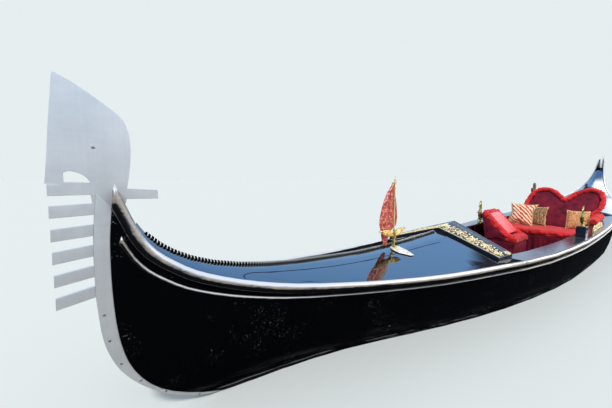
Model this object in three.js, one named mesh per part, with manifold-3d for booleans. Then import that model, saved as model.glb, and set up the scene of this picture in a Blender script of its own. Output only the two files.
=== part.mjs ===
// A Venetian gondola afloat, as an assembly of its separate pieces.
// Millimetres, X to the bow, Y to port, Z up from the flat of the bottom.
import * as THREE from 'three';
import { mergeVertices } from 'three/addons/utils/BufferGeometryUtils.js';
import Module from 'manifold-3d';

const wasm = await Module();
wasm.setup();

// Driving dimensions
const LENGTH = 10850; // from the front of the bow iron to the back of the stern iron
const IRON_REACH = 221; // how far the bow iron stands ahead of the hull's tip
const TIP_X = LENGTH / 2 - IRON_REACH; // the hull's tip, where the two sheers meet
const WATERLINE = 200; // the draught, above the flat of the bottom
const STARBOARD_SHARE = 0.71; // the starboard half is this much of the port half
const STEM_HALF = 35; // half the hull's width over the planks at stem and stern
const GAP = 0.3; // between pieces that touch

const SIDE_PLANK = 16;
const BOTTOM_PLANK = 20;
const DECK_PLANK = 12;

// Places are given as metres aft of the hull's tip and above the water.
const X = (aft) => TIP_X - aft * 1000;
const Z = (height) => WATERLINE + height * 1000;
const MM = 1000;

// The hull's rungs, from the tip to the stern: the sheer, then the foot of the side
// (which runs down the stem, along the chine and up the stern), both for the port side.
const RUNG_COLUMNS = ['sheerAft', 'sheerHalf', 'sheerHeight', 'footAft', 'footHalf', 'footHeight'];
const RUNGS = [
  [0.0, 0.035, 1.116, -0.006, 0.035, 1.045],
  [0.028, 0.04, 1.045, -0.02, 0.035, 0.9],
  [0.055, 0.046, 0.975, -0.023, 0.035, 0.75],
  [0.095, 0.058, 0.89, -0.019, 0.035, 0.6],
  [0.145, 0.073, 0.825, -0.006, 0.035, 0.46],
  [0.215, 0.094, 0.77, 0.022, 0.035, 0.34],
  [0.3, 0.122, 0.718, 0.07, 0.035, 0.245],
  [0.42, 0.16, 0.672, 0.15, 0.035, 0.155],
  [0.58, 0.21, 0.628, 0.27, 0.035, 0.08],
  [0.78, 0.27, 0.59, 0.45, 0.035, 0.01],
  [1.04, 0.342, 0.56, 0.8, 0.04, -0.05],
  [1.4, 0.43, 0.526, 1.25, 0.095, -0.085],
  [1.85, 0.54, 0.5, 1.8, 0.24, -0.115],
  [2.45, 0.655, 0.482, 2.45, 0.41, -0.145],
  [3.3, 0.775, 0.458, 3.3, 0.56, -0.17],
  [4.3, 0.825, 0.455, 4.3, 0.665, -0.1797],
  [5.3, 0.83, 0.475, 5.3, 0.68, -0.1797],
  [6.3, 0.8, 0.512, 6.3, 0.665, -0.1797],
  [7.35, 0.705, 0.572, 7.35, 0.57, -0.155],
  [8.25, 0.545, 0.662, 8.3, 0.395, -0.085],
  [8.95, 0.37, 0.78, 9.05, 0.19, 0.02],
  [9.45, 0.235, 0.925, 9.6, 0.08, 0.2],
  [9.85, 0.14, 1.105, 9.98, 0.04, 0.44],
  [10.12, 0.085, 1.3, 10.22, 0.035, 0.72],
  [10.3, 0.052, 1.5, 10.38, 0.035, 1.02],
  [10.4, 0.038, 1.62, 10.46, 0.035, 1.4],
];
const LAST_RUNG = RUNGS.length - 1;

// The crest of the two decks: metres aft of the tip, height above the water.
const FORE_CREST = [
  [0.05, 1.02], [0.09, 0.945], [0.136, 0.878], [0.191, 0.826], [0.265, 0.778], [0.361, 0.732],
  [0.503, 0.688], [0.642, 0.66], [0.819, 0.634], [0.995, 0.618], [1.284, 0.603], [1.57, 0.59],
  [1.9, 0.592], [2.3, 0.61], [2.68, 0.636], [3.05, 0.66],
];
const AFT_CREST = [
  [6.6, 0.66], [7.0, 0.675], [7.5, 0.71], [8.25, 0.79], [8.95, 0.89], [9.45, 1.01],
  [9.85, 1.165], [10.12, 1.345], [10.2, 1.42],
];

// A smooth curve through rows of a table that never swings past its points.
function smoothColumn(xs, ys) {
  const count = xs.length;
  const slopes = [];
  for (let i = 0; i < count - 1; i++) slopes.push((ys[i + 1] - ys[i]) / (xs[i + 1] - xs[i]));
  const tangents = ys.map((_, i) => {
    if (i === 0) return slopes[0];
    if (i === count - 1) return slopes[count - 2];
    const [before, after] = [slopes[i - 1], slopes[i]];
    return before * after <= 0 ? 0 : (2 * before * after) / (before + after);
  });
  return (x) => {
    let i = xs.findIndex((edge) => edge > x) - 1;
    if (i < 0) i = x < xs[0] ? 0 : count - 2;
    const span = xs[i + 1] - xs[i];
    const t = Math.min(1, Math.max(0, (x - xs[i]) / span));
    const [t2, t3] = [t * t, t * t * t];
    const start = (2 * t3 - 3 * t2 + 1) * ys[i] + (t3 - 2 * t2 + t) * span * tangents[i];
    return start + (3 * t2 - 2 * t3) * ys[i + 1] + (t3 - t2) * span * tangents[i + 1];
  };
}

const rung = {};
RUNG_COLUMNS.forEach((name, column) => {
  rung[name] = smoothColumn(RUNGS.map((_, i) => i), RUNGS.map((row) => row[column]));
});
const sheerHalfAt = smoothColumn(RUNGS.map((row) => row[0]), RUNGS.map((row) => row[1]));
const sheerHeightAt = smoothColumn(RUNGS.map((row) => row[0]), RUNGS.map((row) => row[2]));
const footHalfAt = smoothColumn(RUNGS.map((row) => row[3]), RUNGS.map((row) => row[4]));
const footHeightAt = smoothColumn(RUNGS.map((row) => row[3]), RUNGS.map((row) => row[5]));
const foreCrestAt = smoothColumn(FORE_CREST.map((row) => row[0]), FORE_CREST.map((row) => row[1]));
const aftCrestAt = smoothColumn(AFT_CREST.map((row) => row[0]), AFT_CREST.map((row) => row[1]));

// Half breadth in millimetres, signed, on the port (+1) or starboard (-1) side.
function breadth(half, side) {
  const portHalf = half * MM;
  return side > 0 ? portHalf : -(STEM_HALF + (portHalf - STEM_HALF) * STARBOARD_SHARE);
}

// Where an aft distance falls among the rungs, by its sheer.
function rungAt(aft) {
  let [low, high] = [0, LAST_RUNG];
  for (let step = 0; step < 30; step++) {
    const middle = (low + high) / 2;
    if (rung.sheerAft(middle) < aft) low = middle;
    else high = middle;
  }
  return (low + high) / 2;
}

const BULGE = 0.035; // how far the side plank bows out, as a share of its height
const RUNG_STEP = 0.5; // the planks are flat between half rungs, and between these rows
const SIDE_ROWS = [0, 0.35, 0.7, 1];

function smoothSkin(u, v, side) {
  const sheer = new THREE.Vector3(X(rung.sheerAft(u)), breadth(rung.sheerHalf(u), side), Z(rung.sheerHeight(u)));
  const foot = new THREE.Vector3(X(rung.footAft(u)), breadth(rung.footHalf(u), side), Z(rung.footHeight(u)));
  const point = foot.clone().lerp(sheer, v);
  const opening = Math.min(1, Math.abs(sheer.y - foot.y) / 100);
  point.y += side * BULGE * sheer.distanceTo(foot) * 4 * v * (1 - v) * opening;
  return point;
}

// A point on the outer face of a side: u counts rungs, v goes from the foot (0) to the sheer (1).
function skin(u, v, side) {
  const before = Math.min(LAST_RUNG - RUNG_STEP, Math.floor(u / RUNG_STEP) * RUNG_STEP);
  const row = Math.max(1, SIDE_ROWS.findIndex((edge) => edge >= v));
  const [low, high] = [SIDE_ROWS[row - 1], SIDE_ROWS[row]];
  const rise = (v - low) / (high - low);
  const at = (rungPlace) => smoothSkin(rungPlace, low, side).lerp(smoothSkin(rungPlace, high, side), rise);
  return at(before).lerp(at(before + RUNG_STEP), (u - before) / RUNG_STEP);
}

// The outward normal of the skin at a point, its direction of rise, and how much
// further a slanted rise has to go to stand as far off the run.
function skinFrame(u, v, side) {
  const step = 0.02;
  const [before, after] = [Math.max(0, u - step), Math.min(LAST_RUNG, u + step)];
  const run = skin(after, v, side).sub(skin(before, v, side)).normalize();
  const [below, above] = [Math.max(0, v - step), Math.min(1, v + step)];
  const rise = skin(u, above, side).sub(skin(u, below, side)).normalize();
  const out = new THREE.Vector3().crossVectors(run, rise);
  const slant = 1 / out.length();
  out.normalize();
  if (out.y * side < 0) out.negate();
  return { out, rise, slant };
}

function range(count) {
  return Array.from({ length: count }, (_, i) => i);
}

function spread(from, to, count) {
  return range(count).map((i) => from + ((to - from) * i) / (count - 1));
}

// A closed geometry from points and triangles, turned to face out.
function closedGeometry(points, triangles) {
  let volume = 0;
  for (const [a, b, c] of triangles) {
    volume += points[a].dot(new THREE.Vector3().crossVectors(points[b], points[c]));
  }
  const outward = volume < 0 ? triangles.map(([a, b, c]) => [a, c, b]) : triangles;
  const geometry = new THREE.BufferGeometry();
  geometry.setAttribute('position', new THREE.Float32BufferAttribute(points.flatMap((p) => [p.x, p.y, p.z]), 3));
  geometry.setIndex(outward.flat());
  geometry.computeVertexNormals();
  return geometry;
}

// A plate between two grids of points that match row by row.
function plate(front, back) {
  const [rows, columns] = [front.length, front[0].length];
  const points = [...front.flat(), ...back.flat()];
  const at = (layer, i, j) => layer * rows * columns + i * columns + j;
  const triangles = [];
  const quad = (a, b, c, d) => triangles.push([a, b, c], [a, c, d]);
  for (let i = 0; i < rows - 1; i++) {
    for (let j = 0; j < columns - 1; j++) {
      quad(at(0, i, j), at(0, i + 1, j), at(0, i + 1, j + 1), at(0, i, j + 1));
      quad(at(1, i, j), at(1, i, j + 1), at(1, i + 1, j + 1), at(1, i + 1, j));
    }
    quad(at(0, i, 0), at(1, i, 0), at(1, i + 1, 0), at(0, i + 1, 0));
    quad(at(0, i, columns - 1), at(0, i + 1, columns - 1), at(1, i + 1, columns - 1), at(1, i, columns - 1));
  }
  for (let j = 0; j < columns - 1; j++) {
    quad(at(0, 0, j), at(0, 0, j + 1), at(1, 0, j + 1), at(1, 0, j));
    quad(at(0, rows - 1, j), at(1, rows - 1, j), at(1, rows - 1, j + 1), at(0, rows - 1, j + 1));
  }
  return closedGeometry(points, triangles);
}

// A bar through rings of points, each end closed about its middle.
function bar(rings) {
  const sides = rings[0].length;
  const points = rings.flat();
  const triangles = [];
  for (let i = 0; i < rings.length - 1; i++) {
    for (let j = 0; j < sides; j++) {
      const next = (j + 1) % sides;
      const [a, b] = [i * sides + j, i * sides + next];
      const [c, d] = [a + sides, b + sides];
      triangles.push([a, b, d], [a, d, c]);
    }
  }
  for (const [ring, turn] of [[0, 1], [rings.length - 1, -1]]) {
    const middle = new THREE.Vector3();
    rings[ring].forEach((point) => middle.addScaledVector(point, 1 / sides));
    const hub = points.push(middle) - 1;
    for (let j = 0; j < sides; j++) {
      const [a, b] = [ring * sides + j, ring * sides + ((j + 1) % sides)];
      triangles.push(turn > 0 ? [hub, b, a] : [hub, a, b]);
    }
  }
  return closedGeometry(points, triangles);
}

// Turns a closed geometry into a solid for joins and cuts, and back.
function toSolid(geometry) {
  const bare = geometry.clone();
  bare.deleteAttribute('normal');
  bare.deleteAttribute('uv');
  const merged = mergeVertices(bare, 1e-4);
  const mesh = new wasm.Mesh({
    numProp: 3,
    vertProperties: new Float32Array(merged.attributes.position.array),
    triVerts: new Uint32Array(merged.index.array),
  });
  return new wasm.Manifold(mesh);
}

function fromSolid(solid) {
  const mesh = solid.getMesh();
  const geometry = new THREE.BufferGeometry();
  geometry.setAttribute('position', new THREE.BufferAttribute(new Float32Array(mesh.vertProperties), 3));
  geometry.setIndex(Array.from(mesh.triVerts));
  geometry.computeVertexNormals();
  return geometry;
}

function join(geometries) {
  return fromSolid(geometries.map(toSolid).reduce((whole, piece) => whole.add(piece)));
}

function cut(geometry, tools) {
  return fromSolid(tools.map(toSolid).reduce((whole, tool) => whole.subtract(tool), toSolid(geometry)));
}

// A box between two corners.
function block(low, high) {
  const size = high.map((value, i) => value - low[i]);
  const geometry = new THREE.BoxGeometry(...size);
  return geometry.translate(...high.map((value, i) => (value + low[i]) / 2));
}

// An outline in the X-Z plane, extruded from y = from to y = to.
function profileXZ(shape, from, to, curveSegments = 8) {
  const geometry = new THREE.ExtrudeGeometry(shape, { depth: to - from, bevelEnabled: false, curveSegments });
  return geometry.rotateX(Math.PI / 2).translate(0, to, 0);
}

// An outline in the Y-Z plane, extruded from x = from to x = to.
function profileYZ(shape, from, to, curveSegments = 8) {
  const geometry = new THREE.ExtrudeGeometry(shape, { depth: to - from, bevelEnabled: false, curveSegments });
  return geometry.rotateX(Math.PI / 2).rotateZ(Math.PI / 2).translate(from, 0, 0);
}

function outline(points) {
  return new THREE.Shape(points.map(([x, y]) => new THREE.Vector2(x, y)));
}

function smoothLine(points, count) {
  const curve = new THREE.SplineCurve(points.map(([x, y]) => new THREE.Vector2(x, y)));
  return curve.getPoints(count).map((p) => [p.x, p.y]);
}

function onKeel([aft, height]) {
  return [X(aft), Z(height)];
}

// A line of points moved sideways: to its left, going along it, for a distance above 0.
function offsetLine(points, distance) {
  return points.map(([x, y], i) => {
    const [ax, ay] = points[Math.max(0, i - 1)];
    const [bx, by] = points[Math.min(points.length - 1, i + 1)];
    const length = Math.hypot(bx - ax, by - ay);
    return [x - (distance * (by - ay)) / length, y + (distance * (bx - ax)) / length];
  });
}

const FINISHES = {
  blackLacquer: { color: 0x0b0c10, roughness: 0.12, metalness: 0 },
  bottomPaint: { color: 0x1c1f22, roughness: 0.6, metalness: 0 },
  iron: { color: 0xb3b9be, roughness: 0.38, metalness: 0.85 },
  brass: { color: 0xd9a634, roughness: 0.22, metalness: 1 },
  gilding: { color: 0xd8bd76, roughness: 0.4, metalness: 0.6 },
  redPlush: { color: 0xb3101c, roughness: 0.95, metalness: 0 },
  redVelvet: { color: 0x5c0a1e, roughness: 0.9, metalness: 0 },
  brocade: { color: 0xb88a5a, roughness: 0.8, metalness: 0 },
  crimsonSilk: { color: 0xa3203a, roughness: 0.6, metalness: 0 },
  wornWood: { color: 0x6d5338, roughness: 0.6, metalness: 0 },
  walnut: { color: 0x6a4222, roughness: 0.4, metalness: 0 },
};

const gondola = new THREE.Group();

function add(name, finish, geometry) {
  const mesh = new THREE.Mesh(geometry, new THREE.MeshStandardMaterial(FINISHES[finish]));
  mesh.name = name;
  gondola.add(mesh);
}

const SIDES = [['port', 1], ['starboard', -1]];

// Side planking
const rungList = range(LAST_RUNG / RUNG_STEP + 1).map((i) => i * RUNG_STEP);
function sidePlank(side, grow) {
  const faces = [grow, -SIDE_PLANK - grow].map((away) => rungList.map((u) => SIDE_ROWS.map((v) => {
    const point = skin(u, v, side);
    const { out, rise } = skinFrame(u, v, side);
    point.y += (side * away) / Math.max(0.8, Math.abs(out.y));
    if (v === 0) point.addScaledVector(rise, -grow);
    return v === 1 ? point.addScaledVector(rise, grow) : point;
  })));
  return plate(...faces);
}
for (const [name, side] of SIDES) add(`side_${name}`, 'blackLacquer', sidePlank(side, 0));
const SEATED_ON_SIDES = SIDES.map(([, side]) => sidePlank(side, GAP));

// Bottom planking, under the feet of the sides
const BOTTOM_FIRST = 9.5;
const BOTTOM_LAST = 20;
const bottomRungs = rungList.filter((u) => u >= BOTTOM_FIRST && u <= BOTTOM_LAST);
const bottomRow = (u, drop) => spread(-1, 1, 3).map((across) => {
  const [port, starboard] = [breadth(rung.footHalf(u), 1), breadth(rung.footHalf(u), -1)];
  const y = across > 0 ? port : across < 0 ? starboard : 0;
  return new THREE.Vector3(X(rung.footAft(u)), y, Z(rung.footHeight(u)) - drop);
});
const bottomPlank = (top) => plate(
  bottomRungs.map((u) => bottomRow(u, top)),
  bottomRungs.map((u) => bottomRow(u, GAP + BOTTOM_PLANK)),
);
add('hull_bottom', 'bottomPaint', bottomPlank(GAP));
const SEATED_IN_HULL = [...SEATED_ON_SIDES, bottomPlank(0)];

// Stem and stern posts, between the side planks
const POST_HALF = STEM_HALF - SIDE_PLANK - 2.5;
const POST_DEPTH = 62;
const footLine = (from, to) => rungList.filter((u) => u >= from && u <= to)
  .map((u) => [X(rung.footAft(u)), Z(rung.footHeight(u))]);
function post(fromRung, toRung) {
  const edge = footLine(fromRung, toRung);
  return profileXZ(outline([...edge, ...offsetLine(edge, -POST_DEPTH).reverse()]), -POST_HALF, POST_HALF);
}
const STEM_HEAD_RUNG = 1.5;
const STEM_HEEL_RUNG = 9;
add('stem_post', 'blackLacquer', post(STEM_HEAD_RUNG, STEM_HEEL_RUNG));
const STERN_HEEL_RUNG = 20.5;
add('stern_post', 'blackLacquer', post(STERN_HEEL_RUNG, LAST_RUNG));

// Sheer rails and the thin mouldings below them, swept along the skin.
// Rail sections: distance out from the plank, height from its upper edge.
const SUNK = -6; // bars are swept a little into the plank, then cut back to seat on it
const FORE_RAIL = [[SUNK, -36], [13, -38], [27, -28], [32, -9], [27, 8], [13, 17], [1, 16], [1, 1], [SUNK, -2]];
const AFT_RAIL = [[SUNK, -27], [10, -29], [21, -21], [25, -7], [21, 7], [10, 15], [1, 14], [1, 1], [SUNK, -2]];
const MOULDING = [[SUNK, -9], [8, -7], [11, 0], [8, 7], [SUNK, 9]];
const RAIL_STEP = 2.735; // where the fat fore rail gives way to the slimmer one

function sweepOnSkin(uList, side, section, reach) {
  const swept = bar(uList.map((u) => {
    const height = skin(u, 0, side).distanceTo(skin(u, 1, side));
    const { slant } = skinFrame(u, 1 - reach(u) / height, side);
    return section.map(([away, rise]) => {
      const v = 1 + (rise * slant - reach(u)) / height;
      const base = skin(u, Math.min(1, v), side);
      const frame = skinFrame(u, Math.min(1, v), side);
      return base.addScaledVector(frame.out, away).addScaledVector(frame.rise, Math.max(0, v - 1) * height);
    });
  }));
  return cut(swept, [SEATED_ON_SIDES[side > 0 ? 0 : 1]]);
}
const stepRung = rungAt(RAIL_STEP);
const STEP_GAP = 0.004;
const rungsBetween = (from, to) => [from, ...rungList.filter((u) => u > from + 0.05 && u < to - 0.05), to];
const MOULDING_REACH = 76;
const MOULDING_DROOP = 26; // how much further below the rail the moulding starts at the stem
const mouldingReach = (u) => MOULDING_REACH + MOULDING_DROOP * Math.exp(-(u - 1.5) / 2);
for (const [name, side] of SIDES) {
  add(`rail_fore_${name}`, 'blackLacquer', sweepOnSkin(rungsBetween(0.1, stepRung), side, FORE_RAIL, () => 0));
  add(`rail_aft_${name}`, 'blackLacquer',
    sweepOnSkin(rungsBetween(stepRung + STEP_GAP, LAST_RUNG - 0.2), side, AFT_RAIL, () => 0));
  add(`moulding_${name}`, 'blackLacquer',
    sweepOnSkin(rungsBetween(1.75, LAST_RUNG - 1.1), side, MOULDING, mouldingReach));
}

// Decks: roofs with a crest, laid on the upper edges of the sides
const DECK_COLUMNS = [-1, -0.7, -0.35, 0, 0.35, 0.7, 1];
const DECK_INSET = 7.5;
function deckPoint(aft, share, crestAt, lift) {
  const side = share < 0 ? -1 : 1;
  const out = Math.abs(share);
  const edge = Math.abs(breadth(sheerHalfAt(aft), side)) - DECK_INSET;
  const rise = 1 - out;
  const edgeHeight = Z(sheerHeightAt(aft)) + GAP;
  const crown = 1.18 * rise - 0.18 * rise * rise;
  const crestHeight = Math.max(Z(crestAt(aft)), edgeHeight);
  return new THREE.Vector3(X(aft), side * edge * out, edgeHeight + (crestHeight - edgeHeight) * crown + lift);
}
// Aft distance at which a deck ends, swept forward from the crest to the sides.
const BOARD_BACK = { crest: 3.02, side: 2.68 };
const BOARD_FRONT = { crest: 2.69, side: 2.5 };
const endAft = (line, share) => line.crest + (line.side - line.crest) * Math.abs(share);

const FORE_DECK_START = 0.085;
const deckRows = [0, 0.012, 0.028, 0.05, 0.08, 0.12, 0.17, 0.23, 0.3, 0.4, 0.5, 0.6, 0.7, 0.8, 0.9, 1];
const DECK_SHORT = 0.012; // the board overhangs the deck's end by this
const foreDeckGrid = (lift, grow = 0) => deckRows.map((t) => DECK_COLUMNS.map((share) => {
  const end = endAft(BOARD_BACK, share) - DECK_SHORT + grow / MM;
  const aft = FORE_DECK_START + (end - FORE_DECK_START) * t;
  return deckPoint(aft, share, foreCrestAt, lift);
}));
const DECK_SUNK = -3;
add('fore_deck', 'blackLacquer', cut(plate(foreDeckGrid(DECK_PLANK), foreDeckGrid(DECK_SUNK)), SEATED_ON_SIDES));
const SEATED_ON_DECK = [plate(foreDeckGrid(DECK_PLANK + GAP, GAP), foreDeckGrid(DECK_SUNK, GAP))];

const AFT_DECK_START = 6.72;
const AFT_DECK_END = 10.1;
const AFT_DECK_ROWS = spread(AFT_DECK_START, AFT_DECK_END, 16);
const aftDeckGrid = (lift) => AFT_DECK_ROWS.map((aft) =>
  DECK_COLUMNS.map((share) => deckPoint(aft, share, aftCrestAt, lift)));
add('aft_deck', 'blackLacquer', cut(plate(aftDeckGrid(DECK_PLANK), aftDeckGrid(DECK_SUNK)), SEATED_ON_SIDES));

// Raised panels on the two slopes of the fore deck
const PANEL_THICK = 5;
const PANEL_START = 0.64;
const PANEL_INNER = 0.2;
const PANEL_OUTER = 0.93;
const PANEL_NOSE = [0, 0.008, 0.02, 0.045, 0.08];
for (const [name, side] of SIDES) {
  const grid = (lift) => [...PANEL_NOSE, ...spread(0.16, 1, 11)].map((t) => {
    const roundness = Math.sqrt(Math.min(1, t / PANEL_NOSE[4]));
    const middle = (PANEL_INNER + PANEL_OUTER) / 2;
    const half = ((PANEL_OUTER - PANEL_INNER) / 2) * (0.35 + 0.65 * roundness);
    return spread(middle - half, middle + half, 4).map((share) => {
      const aft = PANEL_START + (endAft(BOARD_FRONT, share) - 0.03 - PANEL_START) * t;
      return deckPoint(aft, side * share, foreCrestAt, DECK_PLANK + lift);
    });
  });
  add(`deck_panel_${name}`, 'blackLacquer', cut(plate(grid(PANEL_THICK), grid(DECK_SUNK)), SEATED_ON_DECK));
}

// The rope-twist bead along the crest of the fore deck
const BEAD_RADIUS = 8;
const BEAD_SIDES = 6;
function beadAlong(aftList, crestAt) {
  const centres = aftList.map((aft) => deckPoint(aft, 0, crestAt, DECK_PLANK + BEAD_RADIUS - 3));
  return bar(centres.map((centre, i) => {
    const run = centres[Math.min(i + 1, centres.length - 1)].clone().sub(centres[Math.max(0, i - 1)]).normalize();
    const up = new THREE.Vector3().crossVectors(run, new THREE.Vector3(0, 1, 0)).normalize();
    return range(BEAD_SIDES).map((j) => {
      const angle = (2 * Math.PI * j) / BEAD_SIDES;
      const point = centre.clone().addScaledVector(up, BEAD_RADIUS * Math.sin(angle));
      point.y += BEAD_RADIUS * Math.cos(angle);
      return point;
    });
  }));
}
const BEAD_AFT = [0.12, 0.15, 0.19, 0.25, 0.33, 0.43, 0.56, 0.72, 0.92, 1.15, 1.45, 1.8, 2.1, 2.4, 2.62];
add('crest_bead', 'blackLacquer', cut(beadAlong(BEAD_AFT, foreCrestAt), SEATED_ON_DECK));

// The bow iron: a flat blade over six teeth, one tooth aft, and the band down the stem
const IRON_HALF = 8;
const BAND_HALF = 30;
const BLADE_EDGE = [
  [-0.219, 1.145], [-0.207, 1.255], [-0.196, 1.377], [-0.174, 1.575], [-0.108, 1.542], [-0.04, 1.494],
  [0.033, 1.438], [0.067, 1.386], [0.077, 1.303], [0.07, 1.208], [0.056, 1.122], [0.05, 1.06], [0.03, 1.02],
];
const BAND_FRONT = [
  [-0.078, 0.6], [-0.07, 0.49], [-0.05, 0.4], [-0.01, 0.303], [0.066, 0.204], [0.172, 0.112], [0.29, 0.047],
  [0.4, 0.008],
];
const TOOTH_TIP = -0.213;
const TOOTH_ROOT = -0.08;
const TOOTH_TOPS = [1.145, 1.062, 0.974, 0.888, 0.8, 0.712];
const TOOTH_DEEP = 0.049;
const TOOTH_LOW_DROP = 0.006; // the lowest teeth turn down a little to their tips
const bandBack = offsetLine(footLine(0, STEM_HEEL_RUNG), GAP);
const bandShape = outline([
  ...[[-0.06, 1.1], [TOOTH_ROOT, 0.9], [TOOTH_ROOT - 0.002, 0.66], ...BAND_FRONT].map(onKeel), ...bandBack.reverse(),
]);
const bladeShape = outline([
  ...smoothLine(BLADE_EDGE.slice(0, 4), 6), ...smoothLine(BLADE_EDGE.slice(3, 12), 22).slice(1), BLADE_EDGE[12],
  [-0.02, 1.02], [-0.07, 1.02], [TOOTH_ROOT, TOOTH_TOPS[0]], [-0.214, TOOTH_TOPS[0]],
].map(onKeel));
const archHole = new THREE.Path();
archHole.moveTo(X(-0.161), Z(1.151));
archHole.lineTo(X(-0.161), Z(1.186));
archHole.quadraticCurveTo(X(-0.155), Z(1.194), X(-0.138), Z(1.194));
archHole.quadraticCurveTo(X(-0.09), Z(1.186), X(-0.075), Z(1.147));
archHole.closePath();
bladeShape.holes.push(archHole);
const teeth = TOOTH_TOPS.map((top, i) => {
  const drop = i * TOOTH_LOW_DROP;
  return profileXZ(outline([
    [TOOTH_ROOT + 0.03, top], [TOOTH_TIP, top - drop], [TOOTH_TIP - 0.001, top - drop - TOOTH_DEEP],
    [TOOTH_ROOT + 0.03, top - TOOTH_DEEP],
  ].map(onKeel)), -IRON_HALF, IRON_HALF);
});
const aftTooth = profileXZ(outline([[0.03, 1.122], [0.178, 1.11], [0.178, 1.07], [0.03, 1.074]].map(onKeel)),
  -IRON_HALF, IRON_HALF);
const neck = profileXZ(outline([[-0.07, 1.13], [0, 1.13], [0, 1.02], [-0.07, 1.02]].map(onKeel)), -IRON_HALF, IRON_HALF);
add('bow_iron', 'iron', join([
  profileXZ(bladeShape, -IRON_HALF, IRON_HALF, 6), ...teeth, aftTooth, neck, profileXZ(bandShape, -BAND_HALF, BAND_HALF),
]));

// The stern iron: a flat leaf on the stern's head, curling forward, with its band
const STERN_BAND = 12;
const STERN_BAND_FOOT = 23;
const sternLine = footLine(STERN_BAND_FOOT, LAST_RUNG);
const sternBand = outline([...offsetLine(sternLine, GAP), ...offsetLine(sternLine, GAP + STERN_BAND).reverse()]);
const sternLeaf = outline([
  [10.461, 1.33], [10.474, 1.37], [10.53, 1.49], [10.59, 1.57], [10.629, 1.665], [10.615, 1.72], [10.565, 1.7],
  [10.51, 1.63], [10.468, 1.53],
].map(onKeel));
add('stern_iron', 'iron', join([
  profileXZ(sternBand, -STEM_HALF, STEM_HALF), profileXZ(sternLeaf, -IRON_HALF, IRON_HALF),
]));

// The carved board at the aft end of the fore deck: a roof-shaped plate on its riser
const BOARD_SHARES = [-0.93, -0.6, -0.3, 0, 0.3, 0.6, 0.93];
const BOARD_THICK = 22;
const BOARD_RISE = 16; // how much higher its back edge stands
const BOARD_LIFT = DECK_PLANK + 1;
const boardGrid = (lift, low) => spread(0, 1, 4).map((t) => BOARD_SHARES.map((share) => {
  const aft = endAft(BOARD_FRONT, share) + (endAft(BOARD_BACK, share) - endAft(BOARD_FRONT, share)) * t;
  return deckPoint(aft, share, foreCrestAt, lift + (low ? 0 : BOARD_RISE * t));
}));
add('carved_board', 'blackLacquer',
  cut(plate(boardGrid(BOARD_LIFT + BOARD_THICK, false), boardGrid(DECK_PLANK - 6, true)), SEATED_ON_DECK));

// Bulkheads under the ends of the two decks, each with a doorway
const BULKHEAD_THICK = 18;
const FORE_BULKHEAD_AFT = 2.62;
const AFT_BULKHEAD_AFT = 6.78;
const WALL_SUNK = 5; // walls and ribs run this far into the planks, then are cut back to seat
const DOOR = { half: 190, low: 190, high: 470, clear: 5, thick: 16 };
const HINGE = { off: 7, radius: 6, tall: 24, web: 12, inset: 60 }; // the pin stands off the bulkhead's face

// Half breadth inside the side planks at a height, found down the rung nearest that place.
function insideHalf(aft, height, side) {
  const u = rungAt(aft);
  const [foot, sheer] = [skin(u, 0, side), skin(u, 1, side)];
  const v = Math.min(1, Math.max(0, (height - foot.z) / (sheer.z - foot.z)));
  return Math.abs(skin(u, v, side).y) - SIDE_PLANK + WALL_SUNK;
}
function footFloor(aft) {
  return Z(footHeightAt(aft));
}
function bulkhead(aft, crestAt, facing) {
  const under = (share) => deckPoint(aft, share, crestAt, DECK_SUNK - 2);
  const low = footFloor(aft) - WALL_SUNK;
  const wall = (side) => spread(low, Z(sheerHeightAt(aft)) - 4, 4).map((z) => [side * insideHalf(aft, z, side), z]);
  const top = [0.85, 0.6, 0.3, 0, -0.3, -0.6, -0.85].map((share) => [under(share).y, under(share).z]);
  const shape = outline([...wall(1), ...top, ...wall(-1).reverse()]);
  const hole = new THREE.Path();
  hole.moveTo(DOOR_MIDDLE - DOOR.half, DOOR.low);
  hole.lineTo(DOOR_MIDDLE - DOOR.half, DOOR.high);
  hole.lineTo(DOOR_MIDDLE + DOOR.half, DOOR.high);
  hole.lineTo(DOOR_MIDDLE + DOOR.half, DOOR.low);
  hole.closePath();
  shape.holes.push(hole);
  const panel = cut(profileYZ(shape, X(aft) - BULKHEAD_THICK / 2, X(aft) + BULKHEAD_THICK / 2), SEATED_IN_HULL);
  const face = X(aft) + (facing * BULKHEAD_THICK) / 2;
  const knuckles = HINGE_HEIGHTS.flatMap((height) => [-1, 1].flatMap((end) => {
    const low = end > 0 ? height + HINGE.tall / 2 + GAP : height - HINGE.tall - GAP;
    return hingeKnuckle(face, facing, 1, low, low + HINGE.tall / 2);
  }));
  return join([panel, ...knuckles]);
}

const DOOR_MIDDLE = 60; // the passenger space is centred this far to port of the stem line
const HINGE_HEIGHTS = [DOOR.low + HINGE.inset, DOOR.high - HINGE.inset];
// A barrel on the hinge line with its web, which runs to port (1) or starboard (-1) of it.
function hingeKnuckle(face, facing, side, low, high) {
  const [x, y] = [face + facing * HINGE.off, DOOR_MIDDLE + DOOR.half];
  const barrel = new THREE.CylinderGeometry(HINGE.radius, HINGE.radius, high - low, 12).rotateX(Math.PI / 2)
    .translate(x, y, (low + high) / 2);
  const [xs, ys] = [[x, face - facing], [y, y + side * HINGE.web]].map((ends) => ends.sort((a, b) => a - b));
  return [barrel, block([xs[0], ys[0], low], [xs[1], ys[1], high])];
}
add('fore_bulkhead', 'blackLacquer', bulkhead(FORE_BULKHEAD_AFT, foreCrestAt, -1));
add('aft_bulkhead', 'blackLacquer', bulkhead(AFT_BULKHEAD_AFT, aftCrestAt, 1));

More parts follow.
